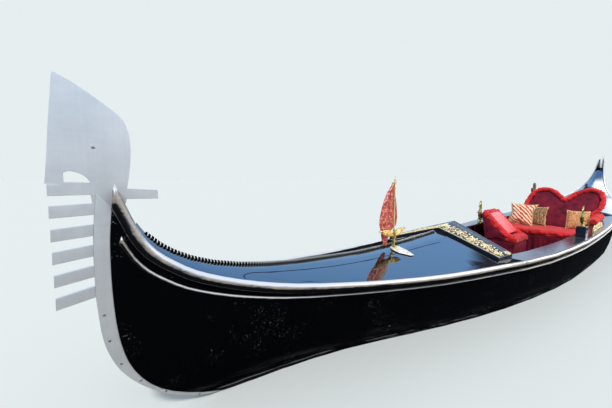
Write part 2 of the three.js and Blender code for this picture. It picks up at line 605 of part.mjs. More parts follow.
// Locker doors, flush in the doorways, each hung on two barrels at its port edge
function lockerDoor(aft, facing) {
  const face = X(aft) + (facing * BULKHEAD_THICK) / 2;
  const xs = [face, face - facing * DOOR.thick].sort((a, b) => a - b);
  const leaf = block(
    [xs[0], DOOR_MIDDLE - DOOR.half + DOOR.clear, DOOR.low + DOOR.clear],
    [xs[1], DOOR_MIDDLE + DOOR.half - DOOR.clear, DOOR.high - DOOR.clear],
  );
  const knob = new THREE.LatheGeometry(
    [[0, 0], [7, 0], [6, 8], [13, 14], [14, 20], [9, 27], [0, 29]].map(([r, h]) => new THREE.Vector2(r, h)), 10);
  knob.rotateZ((facing * Math.PI) / -2)
    .translate(face - facing, DOOR_MIDDLE - DOOR.half + 34, (DOOR.low + DOOR.high) / 2);
  const barrels = HINGE_HEIGHTS
    .flatMap((height) => hingeKnuckle(face, facing, -1, height - HINGE.tall / 2, height + HINGE.tall / 2));
  return join([leaf, knob, ...barrels]);
}
add('fore_door', 'blackLacquer', lockerDoor(FORE_BULKHEAD_AFT, -1));
add('aft_door', 'blackLacquer', lockerDoor(AFT_BULKHEAD_AFT, 1));

// Ribs joined by a keelson plank, on the bottom and up the sides of the open hull
const RIB_AFT = [3.0, 3.6, 4.2, 4.8, 5.4, 6.0, 6.5];
const RIB_HALF_WIDTH = 14;
const RIB_DEEP = 26;
const KEELSON_HALF = 70;
function rib(aft) {
  const floor = footFloor(aft) - WALL_SUNK;
  const top = Z(sheerHeightAt(aft)) - 4;
  const wall = (side, inset) => spread(floor, top, 4)
    .map((z) => [side * (insideHalf(aft, z, side) - inset), z]);
  const floorTop = floor + WALL_SUNK + RIB_DEEP;
  const inner = (side) => wall(side, RIB_DEEP).filter(([, z]) => z > floorTop + 30);
  const corner = (side) => [side * (insideHalf(aft, floorTop, side) - RIB_DEEP), floorTop];
  const shape = outline([
    ...wall(1, 0), ...inner(1).reverse(), corner(1), corner(-1), ...inner(-1), ...wall(-1, 0).reverse(),
  ]);
  return profileYZ(shape, X(aft) - RIB_HALF_WIDTH, X(aft) + RIB_HALF_WIDTH);
}
const keelsonRow = (aft, lift) => [-KEELSON_HALF, KEELSON_HALF]
  .map((y) => new THREE.Vector3(X(aft), y + DOOR_MIDDLE, footFloor(aft) + lift));
const keelsonAft = spread(RIB_AFT[0], RIB_AFT[RIB_AFT.length - 1], 8);
const keelson = plate(keelsonAft.map((aft) => keelsonRow(aft, 22)), keelsonAft.map((aft) => keelsonRow(aft, -2)));
add('ribs', 'blackLacquer', cut(join([...RIB_AFT.map(rib), keelson]), SEATED_IN_HULL));

// Loose floorboards on the ribs
const FLOOR_THICK = 14;
const FLOOR_CLEAR = 15;
const FLOOR_AFT = [FORE_BULKHEAD_AFT + 0.03, ...RIB_AFT, AFT_BULKHEAD_AFT - 0.03];
const floorSeat = (aft) => footFloor(aft) + RIB_DEEP + 2 * GAP;
const floorGrid = (lift) => FLOOR_AFT.map((aft) => [-1, 1].map((side) => {
  const half = insideHalf(aft, floorSeat(aft), side) - WALL_SUNK - RIB_DEEP - FLOOR_CLEAR;
  return new THREE.Vector3(X(aft), side * half, floorSeat(aft) + lift);
}));
add('floorboards', 'blackLacquer', plate(floorGrid(FLOOR_THICK), floorGrid(0)));
// Highest point of the boards between two places
function floorTop(fore, aft) {
  const ends = [fore, aft].map((place) => {
    const next = FLOOR_AFT.findIndex((row) => row >= place);
    const [before, after] = [FLOOR_AFT[next - 1], FLOOR_AFT[next]];
    return THREE.MathUtils.mapLinear(place, before, after, floorSeat(before), floorSeat(after));
  });
  return Math.max(...ends) + FLOOR_THICK;
}

// Side decks round the open hull, on the heads of the ribs
const COAMING_WIDE = 165;
const COAMING_THICK = 16;
const sideDeckRows = (side, lift) => spread(FORE_BULKHEAD_AFT + 0.13, AFT_DECK_START - 0.012, 18).map((aft) => {
  const outer = Math.abs(breadth(sheerHalfAt(aft), side)) - DECK_INSET;
  return [outer, outer - COAMING_WIDE]
    .map((y) => new THREE.Vector3(X(aft), side * y, Z(sheerHeightAt(aft)) + lift));
});
for (const [name, side] of SIDES) {
  add(`side_deck_${name}`, 'blackLacquer',
    cut(plate(sideDeckRows(side, COAMING_THICK), sideDeckRows(side, DECK_SUNK)), SEATED_ON_SIDES));
}

// Moves a geometry up or down until its lowest point rests on a height.
function rest(geometry, height) {
  geometry.computeBoundingBox();
  return geometry.translate(0, 0, height + GAP - geometry.boundingBox.min.z);
}

// The sofa across the aft end of the open hull, its back in two lobes
const SOFA = { front: 5.38, back: 6.14, starboard: -385, port: 605, seat: 485, cushion: 90 };
add('sofa_base', 'redVelvet', block(
  [X(SOFA.back), SOFA.starboard, floorTop(SOFA.front, SOFA.back) + GAP], [X(SOFA.front), SOFA.port, SOFA.seat]));
const SEAT_BACK = 5.99;
add('sofa_seat', 'redPlush', rest(block(
  [X(SEAT_BACK), SOFA.starboard + 8, 0], [X(SOFA.front) + 12, SOFA.port - 8, SOFA.cushion]), SOFA.seat));
const LOBES = { top: 745, valley: 560, low: -60, outer: 300, thick: 72, lean: 21 };
const LOBE_MIDDLE = [-65, 480];
const BACK_FOOT = { starboard: -330, port: 595, tall: 330 };
const VALLEY = 225;
const backShape = new THREE.Shape();
backShape.moveTo(BACK_FOOT.starboard, LOBES.low);
backShape.lineTo(BACK_FOOT.port, LOBES.low);
backShape.lineTo(BACK_FOOT.port, BACK_FOOT.tall);
backShape.bezierCurveTo(LOBE_MIDDLE[1] + 225, BACK_FOOT.tall + 30, LOBE_MIDDLE[1] + 285, LOBES.top, LOBE_MIDDLE[1] + 50, LOBES.top);
backShape.bezierCurveTo(LOBE_MIDDLE[1] - 110, LOBES.top, VALLEY + 60, LOBES.valley + 60, VALLEY, LOBES.valley);
backShape.bezierCurveTo(VALLEY - 60, LOBES.valley + 60, LOBE_MIDDLE[0] + 150, LOBES.top, LOBE_MIDDLE[0], LOBES.top);
backShape.bezierCurveTo(LOBE_MIDDLE[0] - 270, LOBES.top, BACK_FOOT.starboard - 10, LOBES.outer,
  BACK_FOOT.starboard, LOBES.low);
const leanedBack = profileYZ(backShape, -LOBES.thick, 0, 7)
  .rotateY(THREE.MathUtils.degToRad(-LOBES.lean)).translate(X(SEAT_BACK + 0.025), 0, SOFA.seat);
const underSeat = block([X(7.5), -900, SOFA.seat - 400], [X(5), 900, SOFA.seat + GAP]);
add('sofa_back', 'redVelvet', cut(leanedBack, [underSeat]));

// A low chair on the starboard side, facing across the boat
const CHAIR = { fore: 4.62, aft: 5.08, wall: -345, edge: 55, seat: 455, pad: 75 };
add('chair_base', 'redVelvet', block(
  [X(CHAIR.aft), CHAIR.wall, floorTop(CHAIR.fore, CHAIR.aft) + GAP], [X(CHAIR.fore), CHAIR.edge, CHAIR.seat]));
add('chair_seat', 'redPlush', rest(block(
  [X(CHAIR.aft) - 4, CHAIR.wall + 135, 0], [X(CHAIR.fore) + 4, CHAIR.edge + 18, CHAIR.pad]), CHAIR.seat));
const chairBack = rest(profileYZ(outline([
  [CHAIR.wall + 12, 0], [CHAIR.wall + 130, 0], [CHAIR.wall + 130, CHAIR.pad + GAP], [CHAIR.wall + 288, CHAIR.pad + GAP],
  [CHAIR.wall + 275, 112], [CHAIR.wall + 234, 164], [CHAIR.wall + 194, 213], [CHAIR.wall + 112, 293],
  [CHAIR.wall + 32, 380], [CHAIR.wall - 2, 404], [CHAIR.wall - 38, 400], [CHAIR.wall - 48, 368],
]), X(CHAIR.aft), X(CHAIR.fore)), CHAIR.seat);
add('chair_back', 'redPlush', chairBack);

// Loose pillows on the sofa
function pillow(wide, tall, thick) {
  const steps = [-1, -0.75, -0.35, 0, 0.35, 0.75, 1];
  const face = (sign) => steps.map((a) => steps.map((b) => {
    const swell = Math.sqrt((1 - 0.94 * a * a) * (1 - 0.94 * b * b));
    const [pinchA, pinchB] = [1 - 0.06 * (1 - b * b), 1 - 0.06 * (1 - a * a)];
    return new THREE.Vector3((sign * thick * swell) / 2, (a * wide * pinchA) / 2, (b * tall * pinchB) / 2);
  }));
  return plate(face(1), face(-1));
}
const PILLOWS = [
  { name: 'pillow_striped', aft: 5.74, y: -225, wide: 320, tall: 370, thick: 120, lean: 24, twist: -6 },
  { name: 'pillow_brocade', aft: 5.855, y: -82, wide: 270, tall: 340, thick: 95, lean: 24, twist: 4 },
  { name: 'pillow_port', aft: 5.84, y: 462, wide: 250, tall: 320, thick: 110, lean: 24, twist: -7 },
];
for (const { name, aft, y, wide, tall, thick, lean, twist } of PILLOWS) {
  const cushion = pillow(wide, tall, thick).rotateX(THREE.MathUtils.degToRad(twist))
    .rotateY(THREE.MathUtils.degToRad(-lean)).translate(X(aft), y, 0);
  add(name, 'brocade', rest(cushion, SOFA.seat + SOFA.cushion + GAP));
}

// A seat for something on a side deck: its height above the flat of the bottom
const sideDeckTop = (aft) => Z(sheerHeightAt(aft)) + COAMING_THICK;

// Brass sea horses on round feet, one on each side deck, the port one on a block
const FIGURE_THICK = 34;
const FIGURE_EDGE = [
  [-14, 6], [14, 6], [30, 40], [58, 70], [66, 120], [40, 165], [34, 205], [58, 235], [96, 238], [100, 262],
  [62, 286], [40, 318], [14, 330], [-18, 316], [-40, 270], [-52, 215], [-50, 150], [-22, 100], [-16, 50],
];
function seaHorse(scale) {
  const foot = new THREE.LatheGeometry(
    [[0, 0], [42, 0], [42, 6], [30, 12], [0, 12]].map(([r, h]) => new THREE.Vector2(r, h)), 14).rotateX(Math.PI / 2);
  const body = profileXZ(outline(FIGURE_EDGE), -FIGURE_THICK / 2, FIGURE_THICK / 2);
  return join([foot, body]).scale(scale, scale, scale);
}
const STARBOARD_FIGURE = { aft: 4.72, y: -435, scale: 1.05 };
const PORT_FIGURE = { aft: 4.57, y: 735, scale: 0.75 };
add('sea_horse_starboard', 'brass', rest(
  seaHorse(STARBOARD_FIGURE.scale).translate(X(STARBOARD_FIGURE.aft), STARBOARD_FIGURE.y, 0),
  sideDeckTop(STARBOARD_FIGURE.aft) + 1));
const BLOCK_HALF = 45;
const BLOCK_TALL = 118;
const blockSeat = sideDeckTop(PORT_FIGURE.aft) + 1;
add('figure_block', 'blackLacquer', rest(block(
  [X(PORT_FIGURE.aft) - 60, PORT_FIGURE.y - BLOCK_HALF, 0],
  [X(PORT_FIGURE.aft) + 60, PORT_FIGURE.y + BLOCK_HALF, BLOCK_TALL]), blockSeat));
add('sea_horse_port', 'brass', rest(
  seaHorse(PORT_FIGURE.scale).translate(X(PORT_FIGURE.aft), PORT_FIGURE.y, 0), blockSeat + BLOCK_TALL + GAP));

// A carved and gilded scroll along the port side deck
const SCROLL_AFT = [5.0, 5.55];
const scrollEdge = [[0, -20], [0, 34], [0.12, 60], [0.24, 38], [0.38, 66], [0.5, 78], [0.62, 66], [0.76, 38], [0.88, 60],
  [1, 34], [1, -20]];
const scrollRise = sideDeckTop(SCROLL_AFT[1]) - sideDeckTop(SCROLL_AFT[0]);
const scroll = profileXZ(outline(scrollEdge.map(([along, height]) => [
  X(SCROLL_AFT[0] + (SCROLL_AFT[1] - SCROLL_AFT[0]) * along),
  sideDeckTop(SCROLL_AFT[0]) + scrollRise * along + height,
])), 757, 779);
add('deck_scroll', 'gilding',
  cut(scroll, [plate(sideDeckRows(1, COAMING_THICK + GAP), sideDeckRows(1, -COAMING_WIDE))]));

// The pennant on the fore deck: a plate astride the port slope, a winged collar, its staff and silk
const FLAG_AFT = 1.9;
const FLAG_Y = 62;
const FLAG_BASE = [[-34, 44], [30, 52], [64, 96], [72, 168], [30, 244], [-2, 252], [-40, 160], [-52, 84]];
const baseFace = (lift) => FLAG_BASE.map(([along, across]) => {
  const aft = FLAG_AFT - along / MM;
  const share = across / Math.abs(breadth(sheerHalfAt(aft), 1));
  return deckPoint(aft, share, foreCrestAt, DECK_PLANK + PANEL_THICK + lift);
});
add('flag_plate', 'iron', bar([baseFace(GAP + 0.6), baseFace(GAP + 5.6)]));
const COLLAR_SEAT = deckPoint(FLAG_AFT, FLAG_Y / 650, foreCrestAt, DECK_PLANK + PANEL_THICK + 8).z;
const staffFoot = COLLAR_SEAT + 96;
const column = new THREE.LatheGeometry(
  [[0, 0], [20, 0], [20, 6], [9, 14], [8, 40], [13, 50], [8, 60], [16, 96], [0, 96]]
    .map(([r, h]) => new THREE.Vector2(r, h)), 12).rotateX(Math.PI / 2);
const wings = profileXZ(outline([
  [-200, 140], [-170, 158], [-110, 160], [-50, 150], [-22, 168], [22, 168], [50, 152], [110, 164], [180, 170],
  [222, 156], [150, 140], [80, 118], [34, 96], [24, 60], [-24, 60], [-34, 92], [-90, 116], [-150, 130],
].map(([x, z]) => [x * 0.85, z * 0.85])), -7, 7);
const collar = join([column, wings]);
const STAFF_RADIUS = 4.5;
const STAFF_TOP = Z(1.178);
const staffHole = new THREE.CylinderGeometry(STAFF_RADIUS + GAP, STAFF_RADIUS + GAP, 200, 10).rotateX(Math.PI / 2)
  .translate(0, 0, 96 + 100);
add('flag_collar', 'brass', cut(collar, [staffHole]).translate(X(FLAG_AFT), FLAG_Y, COLLAR_SEAT));
const staffLength = STAFF_TOP - staffFoot;
const staff = new THREE.LatheGeometry([
  [0, 0], [STAFF_RADIUS, 0], [STAFF_RADIUS, staffLength - 70], [10, staffLength - 52], [6, staffLength - 20],
  [0, staffLength],
].map(([r, h]) => new THREE.Vector2(r, h)), 10).rotateX(Math.PI / 2);
add('flag_staff', 'gilding', staff.translate(X(FLAG_AFT), FLAG_Y, staffFoot + GAP));
// The silk hangs forward of its staff in a long leaf, ahead of the collar's wings.
const SILK_THICK = 8;
const silk = outline([
  [7.4, 520], [46, 470], [92, 380], [122, 300], [138, 210], [150, 190], [136, 150], [126, 60], [92, 8], [74, 70],
  [60, 190], [22, 190], [8, 240],
]);
add('flag_silk', 'crimsonSilk', profileXZ(silk, -SILK_THICK / 2, SILK_THICK / 2)
  .translate(X(FLAG_AFT), FLAG_Y - 11.5, COLLAR_SEAT));

// The rower's station aft: a footboard on the deck, a wedge on it, and the oarlock in its block
const FOOTBOARD = { fore: 7.35, aft: 8.05, low: -110, high: 250, thick: 22 };
const footGrid = (lift) => spread(FOOTBOARD.fore, FOOTBOARD.aft, 4).map((aft) => [0, 1].map((end) => {
  const y = FOOTBOARD.low + (FOOTBOARD.high - FOOTBOARD.low) * end;
  return new THREE.Vector3(X(aft), y, deckPoint(aft, 0, aftCrestAt, DECK_PLANK).z + lift);
}));
const footDeck = plate(aftDeckGrid(DECK_PLANK + GAP), aftDeckGrid(-300));
add('footboard', 'wornWood', cut(plate(footGrid(FOOTBOARD.thick), footGrid(-90)), [footDeck]));
const wedgeAft = FOOTBOARD.fore + 0.34;
const wedgeSeat = deckPoint(wedgeAft, 0, aftCrestAt, DECK_PLANK).z + FOOTBOARD.thick;
const wedge = profileXZ(outline([[-65, -30], [65, -30], [65, 22], [-65, 60]]), 60, 190);
add('foot_wedge', 'wornWood', cut(wedge.translate(X(wedgeAft), 0, wedgeSeat),
  [plate(footGrid(FOOTBOARD.thick + GAP), footGrid(-90))]));

const OARLOCK_AFT = 7.15;
const lockHalf = Math.abs(breadth(sheerHalfAt(OARLOCK_AFT), -1));
const lockDeckTop = Z(sheerHeightAt(OARLOCK_AFT)) + DECK_PLANK + 12;
const OARLOCK_Y = -lockHalf + 62;
const lockBlock = cut(block(
  [X(OARLOCK_AFT) - 110, OARLOCK_Y - 42, lockDeckTop - 40], [X(OARLOCK_AFT) + 110, OARLOCK_Y + 42, lockDeckTop + 46]),
[footDeck]);
const SOCKET = { x: 34, y: 20 };
const lockSocket = block(
  [X(OARLOCK_AFT) - SOCKET.x - GAP, OARLOCK_Y - SOCKET.y - GAP, lockDeckTop - 100],
  [X(OARLOCK_AFT) + SOCKET.x + GAP, OARLOCK_Y + SOCKET.y + GAP, lockDeckTop + 100],
);
add('oarlock_block', 'walnut', cut(lockBlock, [lockSocket]));
const OARLOCK_EDGE = [
  [-34, 22], [34, 22], [34, 50], [62, 110], [96, 180], [92, 262], [120, 330], [112, 372], [70, 352], [54, 300], [22, 300],
  [8, 372], [20, 440], [-6, 470], [-44, 440], [-52, 360], [-34, 280], [-46, 200], [-40, 110], [-34, 50],
];
add('oarlock', 'walnut', profileXZ(outline(OARLOCK_EDGE.map(([x, z]) => [x + X(OARLOCK_AFT), z + lockDeckTop])),
  OARLOCK_Y - SOCKET.y, OARLOCK_Y + SOCKET.y));

export default gondola;
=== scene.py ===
import math

import bmesh
import bpy
from mathutils import Matrix, Vector, noise
from mathutils.bvhtree import BVHTree


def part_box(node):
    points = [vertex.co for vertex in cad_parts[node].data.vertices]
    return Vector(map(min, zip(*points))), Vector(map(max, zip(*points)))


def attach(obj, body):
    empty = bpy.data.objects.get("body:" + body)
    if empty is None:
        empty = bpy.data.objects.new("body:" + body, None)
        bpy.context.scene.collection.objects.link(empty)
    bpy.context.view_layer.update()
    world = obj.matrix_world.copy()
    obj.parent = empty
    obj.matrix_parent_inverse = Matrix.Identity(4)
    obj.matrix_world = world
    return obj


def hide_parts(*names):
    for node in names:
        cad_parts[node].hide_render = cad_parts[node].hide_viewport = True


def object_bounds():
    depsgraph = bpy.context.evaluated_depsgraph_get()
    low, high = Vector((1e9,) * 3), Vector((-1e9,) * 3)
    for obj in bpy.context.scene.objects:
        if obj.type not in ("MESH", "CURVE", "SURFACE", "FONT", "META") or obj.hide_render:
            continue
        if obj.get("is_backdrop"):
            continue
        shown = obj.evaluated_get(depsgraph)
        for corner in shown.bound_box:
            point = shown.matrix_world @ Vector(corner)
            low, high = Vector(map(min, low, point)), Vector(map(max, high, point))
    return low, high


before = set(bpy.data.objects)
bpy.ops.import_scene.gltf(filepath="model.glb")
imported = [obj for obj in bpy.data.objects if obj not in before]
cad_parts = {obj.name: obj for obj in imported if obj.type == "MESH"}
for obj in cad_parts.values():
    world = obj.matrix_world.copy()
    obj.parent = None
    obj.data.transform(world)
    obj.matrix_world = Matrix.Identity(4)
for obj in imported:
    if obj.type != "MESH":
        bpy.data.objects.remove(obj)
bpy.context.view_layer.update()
scene = bpy.context.scene

# The view. The boat is seen over its port bow from a little above the rail, close enough that the
# bow iron fills the left of the frame, with the line of sight dipping slightly.
IMAGE = (612, 408)
FOCAL_PIXELS = 297.5
EYE = Vector((5.313, 1.531, 1.370))
HEADING = Vector((-0.604, -0.797, 0.0))
DIP = math.radians(5.186)
lens = bpy.data.cameras.new("bow_view")
lens.sensor_fit = "HORIZONTAL"
lens.sensor_width = 36.0
lens.lens = lens.sensor_width * FOCAL_PIXELS / IMAGE[0]
lens.clip_start = 0.05
lens.clip_end = 500.0
camera = bpy.data.objects.new("bow_view", lens)
scene.collection.objects.link(camera)
camera.location = EYE
sight = HEADING.normalized() * math.cos(DIP) - Vector((0.0, 0.0, math.sin(DIP)))
camera.rotation_euler = sight.to_track_quat("-Z", "Y").to_euler()
scene.camera = camera

# The setting. A plain pale floor stands for the still surface that the boat floats on, at her
# waterline and open where she lies, under a soft sky, blue overhead, and one large soft lamp.
WATERLINE = 0.200
FLOOR_REACH = 150.0
HULL_REACH = 5.4
HULL_STATIONS = 90
INSIDE_SKIN = 0.007
floor_data = bpy.data.meshes.new("floor")
floor_mesh = bmesh.new()
hull_ring = []
for side, way in (("port", 1.0), ("starboard", -1.0)):
    skin = bmesh.new()
    skin.from_mesh(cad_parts[f"side_{side}"].data)
    skin_tree = BVHTree.FromBMesh(skin)
    skin.free()
    for number in range(HULL_STATIONS + 1):
        x = way * (HULL_REACH - 2.0 * HULL_REACH * number / HULL_STATIONS)
        struck = skin_tree.ray_cast(Vector((x, way * 3.0, WATERLINE)), Vector((0.0, -way, 0.0)))[0]
        if struck:
            hull_ring.append((x, struck.y - way * INSIDE_SKIN))
for ring in ([(-FLOOR_REACH, -FLOOR_REACH), (FLOOR_REACH, -FLOOR_REACH), (FLOOR_REACH, FLOOR_REACH),
              (-FLOOR_REACH, FLOOR_REACH)], hull_ring):
    corners = [floor_mesh.verts.new((x, y, WATERLINE)) for x, y in ring]
    for number, corner in enumerate(corners):
        floor_mesh.edges.new((corner, corners[number - 1]))
bmesh.ops.triangle_fill(floor_mesh, use_beauty=True, use_dissolve=False, edges=floor_mesh.edges)
floor_mesh.to_mesh(floor_data)
floor_mesh.free()
floor = bpy.data.objects.new("floor", floor_data)
scene.collection.objects.link(floor)
floor.visible_glossy = False
floor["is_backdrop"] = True
floor_paint = bpy.data.materials.new("floor_paint")
floor_paint.use_nodes = True
floor_paint.node_tree.nodes["Principled BSDF"].inputs["Base Color"].default_value = (0.62, 0.66, 0.66, 1.0)
floor_paint.node_tree.nodes["Principled BSDF"].inputs["Roughness"].default_value = 1.0
floor_paint.node_tree.nodes["Principled BSDF"].inputs["Specular IOR Level"].default_value = 0.0
floor_data.materials.append(floor_paint)

sky = bpy.data.worlds.new("soft_sky")
scene.world = sky
sky.use_nodes = True
sky_nodes, sky_links = sky.node_tree.nodes, sky.node_tree.links
sky_nodes.clear()
direction = sky_nodes.new("ShaderNodeTexCoord")
split = sky_nodes.new("ShaderNodeSeparateXYZ")
sky_links.new(direction.outputs["Generated"], split.inputs[0])
height = sky_nodes.new("ShaderNodeMapRange")
height.inputs["From Min"].default_value = -1.0
sky_links.new(split.outputs["Z"], height.inputs["Value"])
bands = sky_nodes.new("ShaderNodeValToRGB")
SKY_BANDS = (
    (0.00, (0.004, 0.005, 0.006)), (0.485, (0.008, 0.010, 0.012)), (0.505, (0.34, 0.33, 0.31)),
    (0.56, (0.52, 0.62, 0.72)), (0.66, (0.30, 0.60, 1.06)),
    (0.80, (0.24, 0.52, 1.05)), (1.00, (0.20, 0.42, 0.95)),
)
bands.color_ramp.elements.remove(bands.color_ramp.elements[1])
bands.color_ramp.elements[0].position = SKY_BANDS[0][0]
bands.color_ramp.elements[0].color = (*SKY_BANDS[0][1], 1.0)
for place, tint in SKY_BANDS[1:]:
    bands.color_ramp.elements.new(place).color = (*tint, 1.0)
sky_links.new(height.outputs["Result"], bands.inputs["Fac"])


def sky_patch(limits, colour, under):
    """Lays one soft-edged patch of light or shade over the sky, where each part of the direction is
    past its limits: (axis, 0 here, 1 here)."""
    share = None
    for axis, zero, one in limits:
        edge = sky_nodes.new("ShaderNodeMapRange")
        edge.interpolation_type = "SMOOTHSTEP"
        edge.inputs["From Min"].default_value = zero
        edge.inputs["From Max"].default_value = one
        sky_links.new(split.outputs[axis], edge.inputs["Value"])
        if share is None:
            share = edge.outputs["Result"]
            continue
        both = sky_nodes.new("ShaderNodeMath")
        both.operation = "MULTIPLY"
        sky_links.new(share, both.inputs[0])
        sky_links.new(edge.outputs["Result"], both.inputs[1])
        share = both.outputs[0]
    patched = sky_nodes.new("ShaderNodeMix")
    patched.data_type = "RGBA"
    patched.inputs[7].default_value = (*colour, 1.0)
    sky_links.new(share, patched.inputs[0])
    sky_links.new(under, patched.inputs[6])
    return patched.outputs[2]


# A bright cloud over the port quarter lights the crowns of the rails, and a dark low bank beyond the
# stern lies across the after part of the fore deck.
CLOUD = (("Y", -0.13, 0.03), ("X", -0.20, -0.45), ("Z", 0.05, 0.14), ("Z", 0.80, 0.62))
BANK = (("X", -0.868, -0.888), ("Y", 0.02, -0.05), ("Z", 0.25, 0.31), ("Z", 0.54, 0.46))
mirrored = sky_nodes.new("ShaderNodeBackground")
mirrored.inputs["Strength"].default_value = 1.5
clouded = sky_patch(CLOUD, (2.7, 2.75, 2.85), bands.outputs["Color"])
sky_links.new(sky_patch(BANK, (0.040, 0.042, 0.060), clouded), mirrored.inputs["Color"])
seen = sky_nodes.new("ShaderNodeBackground")
seen.inputs["Color"].default_value = (0.79, 0.855, 0.870, 1.0)
ambient = sky_nodes.new("ShaderNodeBackground")
ambient.inputs["Color"].default_value = (0.86, 0.92, 1.0, 1.0)
ambient.inputs["Strength"].default_value = 0.75
path = sky_nodes.new("ShaderNodeLightPath")
by_gloss = sky_nodes.new("ShaderNodeMixShader")
by_camera = sky_nodes.new("ShaderNodeMixShader")
world_out = sky_nodes.new("ShaderNodeOutputWorld")
sky_links.new(path.outputs["Is Glossy Ray"], by_gloss.inputs[0])
sky_links.new(ambient.outputs[0], by_gloss.inputs[1])
sky_links.new(mirrored.outputs[0], by_gloss.inputs[2])
sky_links.new(path.outputs["Is Camera Ray"], by_camera.inputs[0])
sky_links.new(by_gloss.outputs[0], by_camera.inputs[1])
sky_links.new(seen.outputs[0], by_camera.inputs[2])
sky_links.new(by_camera.outputs[0], world_out.inputs["Surface"])

lamp = bpy.data.lights.new("high_lamp", "SUN")
lamp.energy = 2.6
lamp.angle = math.radians(9.0)
lamp.color = (1.0, 0.965, 0.91)
lamp_holder = bpy.data.objects.new("high_lamp", lamp)
scene.collection.objects.link(lamp_holder)
LAMP_FROM = Vector((0.42, 0.50, 0.78))
lamp_holder.rotation_euler = (-LAMP_FROM).to_track_quat("-Z", "Y").to_euler()
scene.view_settings.view_transform = "Standard"


# The hull's two sides. Long planks in many coats of gloss black, carried here as one skin on each
# side; the paint is faintly streaked along the planks, scuffed here and there, and stained low down.
class Tone:
    """A socket in a finish, so that patterns are added and multiplied as written."""

    def __init__(self, finish, socket):
        self.finish, self.socket = finish, socket

    def worked(self, operation, other, flipped=False):
        pair = {0: other, 1: self} if flipped else {0: self, 1: other}
        return self.finish.node("ShaderNodeMath", {"operation": operation}, pair)

    def __add__(self, other):
        return self.worked("ADD", other)

    def __sub__(self, other):
        return self.worked("SUBTRACT", other)

    def __rsub__(self, other):
        return self.worked("SUBTRACT", other, flipped=True)

    def __mul__(self, other):
        return self.worked("MULTIPLY", other)

    def __truediv__(self, other):
        return self.worked("DIVIDE", other)

    def __pow__(self, other):
        return self.worked("POWER", other)

    __radd__ = __add__
    __rmul__ = __mul__


class Finish:
    """A paint, cloth or metal: its constant values, and a pattern of nodes where it varies."""

    def __init__(self, name, constants):
        self.material = bpy.data.materials.new(name)
        self.material.use_nodes = True
        self.tree = self.material.node_tree
        self.shader = self.tree.nodes["Principled BSDF"]
        self.fill(self.shader, constants)

    def fill(self, node, sockets):
        for name, value in sockets.items():
            socket = node.inputs[name]
            if isinstance(value, Tone):
                self.tree.links.new(value.socket, socket)
            elif socket.type == "RGBA":
                socket.default_value = (*value[:3], 1.0)
            else:
                socket.default_value = value

    def node(self, kind, settings=None, sockets=None, output=0):
        made = self.tree.nodes.new(kind)
        for name, value in (settings or {}).items():
            if name == "stops":
                elements = made.color_ramp.elements
                elements.remove(elements[1])
                elements[0].position, elements[0].color = value[0][0], (*value[0][1], 1.0)
                for place, colour in value[1:]:
                    elements.new(place).color = (*colour, 1.0)
            else:
                setattr(made, name, value)
        self.fill(made, sockets or {})
        return Tone(self, made.outputs[output])

    def spot(self, stretch=(1.0, 1.0, 1.0), turn=(0.0, 0.0, 0.0), coordinates="Object"):
        place = self.node("ShaderNodeTexCoord", output=coordinates)
        return self.node("ShaderNodeMapping", {}, {"Vector": place, "Scale": stretch, "Rotation": turn})

    def cloud(self, scale, detail=4.0, rough=0.6, **drawn):
        return self.node("ShaderNodeTexNoise", {}, {
            "Vector": self.spot(**drawn), "Scale": scale, "Detail": detail, "Roughness": rough,
        })

    def between(self, value, low, high):
        return self.node("ShaderNodeMapRange", {"interpolation_type": "SMOOTHSTEP"}, {
            "Value": value, "From Min": low, "From Max": high,
        })

    def blend(self, share, low, high):
        return self.node("ShaderNodeMix", {"data_type": "RGBA"}, {0: share, 6: low, 7: high}, output=2)

    def axis(self, letter, **drawn):
        return self.node("ShaderNodeSeparateXYZ", {}, {0: self.spot(**drawn)}, output=letter)

    def show(self, **sockets):
        self.fill(self.shader, {name.replace("_", " "): value for name, value in sockets.items()})

    def relief(self, height, strength, depth):
        self.show(Normal=self.node("ShaderNodeBump", {}, {
            "Strength": strength, "Distance": depth, "Height": height,
        }))


WELD = 2e-5


def welded(node):
    """A CAD node's shape as one closed mesh."""
    mesh = bmesh.new()
    mesh.from_mesh(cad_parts[node].data)
    bmesh.ops.remove_doubles(mesh, verts=mesh.verts, dist=WELD)
    return mesh


def eased(mesh, width, segments=2, sharper=30.0, flat=1.0):
    """Takes the corners off, after joining the triangles of each flat face."""
    if flat:
        bmesh.ops.dissolve_limit(
            mesh, angle_limit=math.radians(flat), verts=mesh.verts, edges=mesh.edges, delimit={"NORMAL"})
    corners = [e for e in mesh.edges if e.is_manifold and e.calc_face_angle(0.0) > math.radians(sharper)]
    bmesh.ops.bevel(
        mesh, geom=corners, offset=width, offset_type="OFFSET", segments=segments, profile=0.5,
        affect="EDGES", clamp_overlap=True, material=-1)
    return mesh


def finished(name, mesh, finish, slot, body="hull", stands_for=(), crease=40.0, even=True):
    """Makes the piece: smooth but for its creases, with its finish, on its body."""
    data = bpy.data.meshes.new(name)
    mesh.to_mesh(data)
    mesh.free()
    data.materials.append(finish.material)
    data.polygons.foreach_set("use_smooth", [True] * len(data.polygons))
    data.set_sharp_from_angle(angle=math.radians(crease))
    piece = bpy.data.objects.new(name, data)
    scene.collection.objects.link(piece)
    if even:
        weighted = piece.modifiers.new("even_shading", "WEIGHTED_NORMAL")
        weighted.keep_sharp = True
    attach(piece, body)
    if stands_for:
        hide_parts(*stands_for)
    return piece


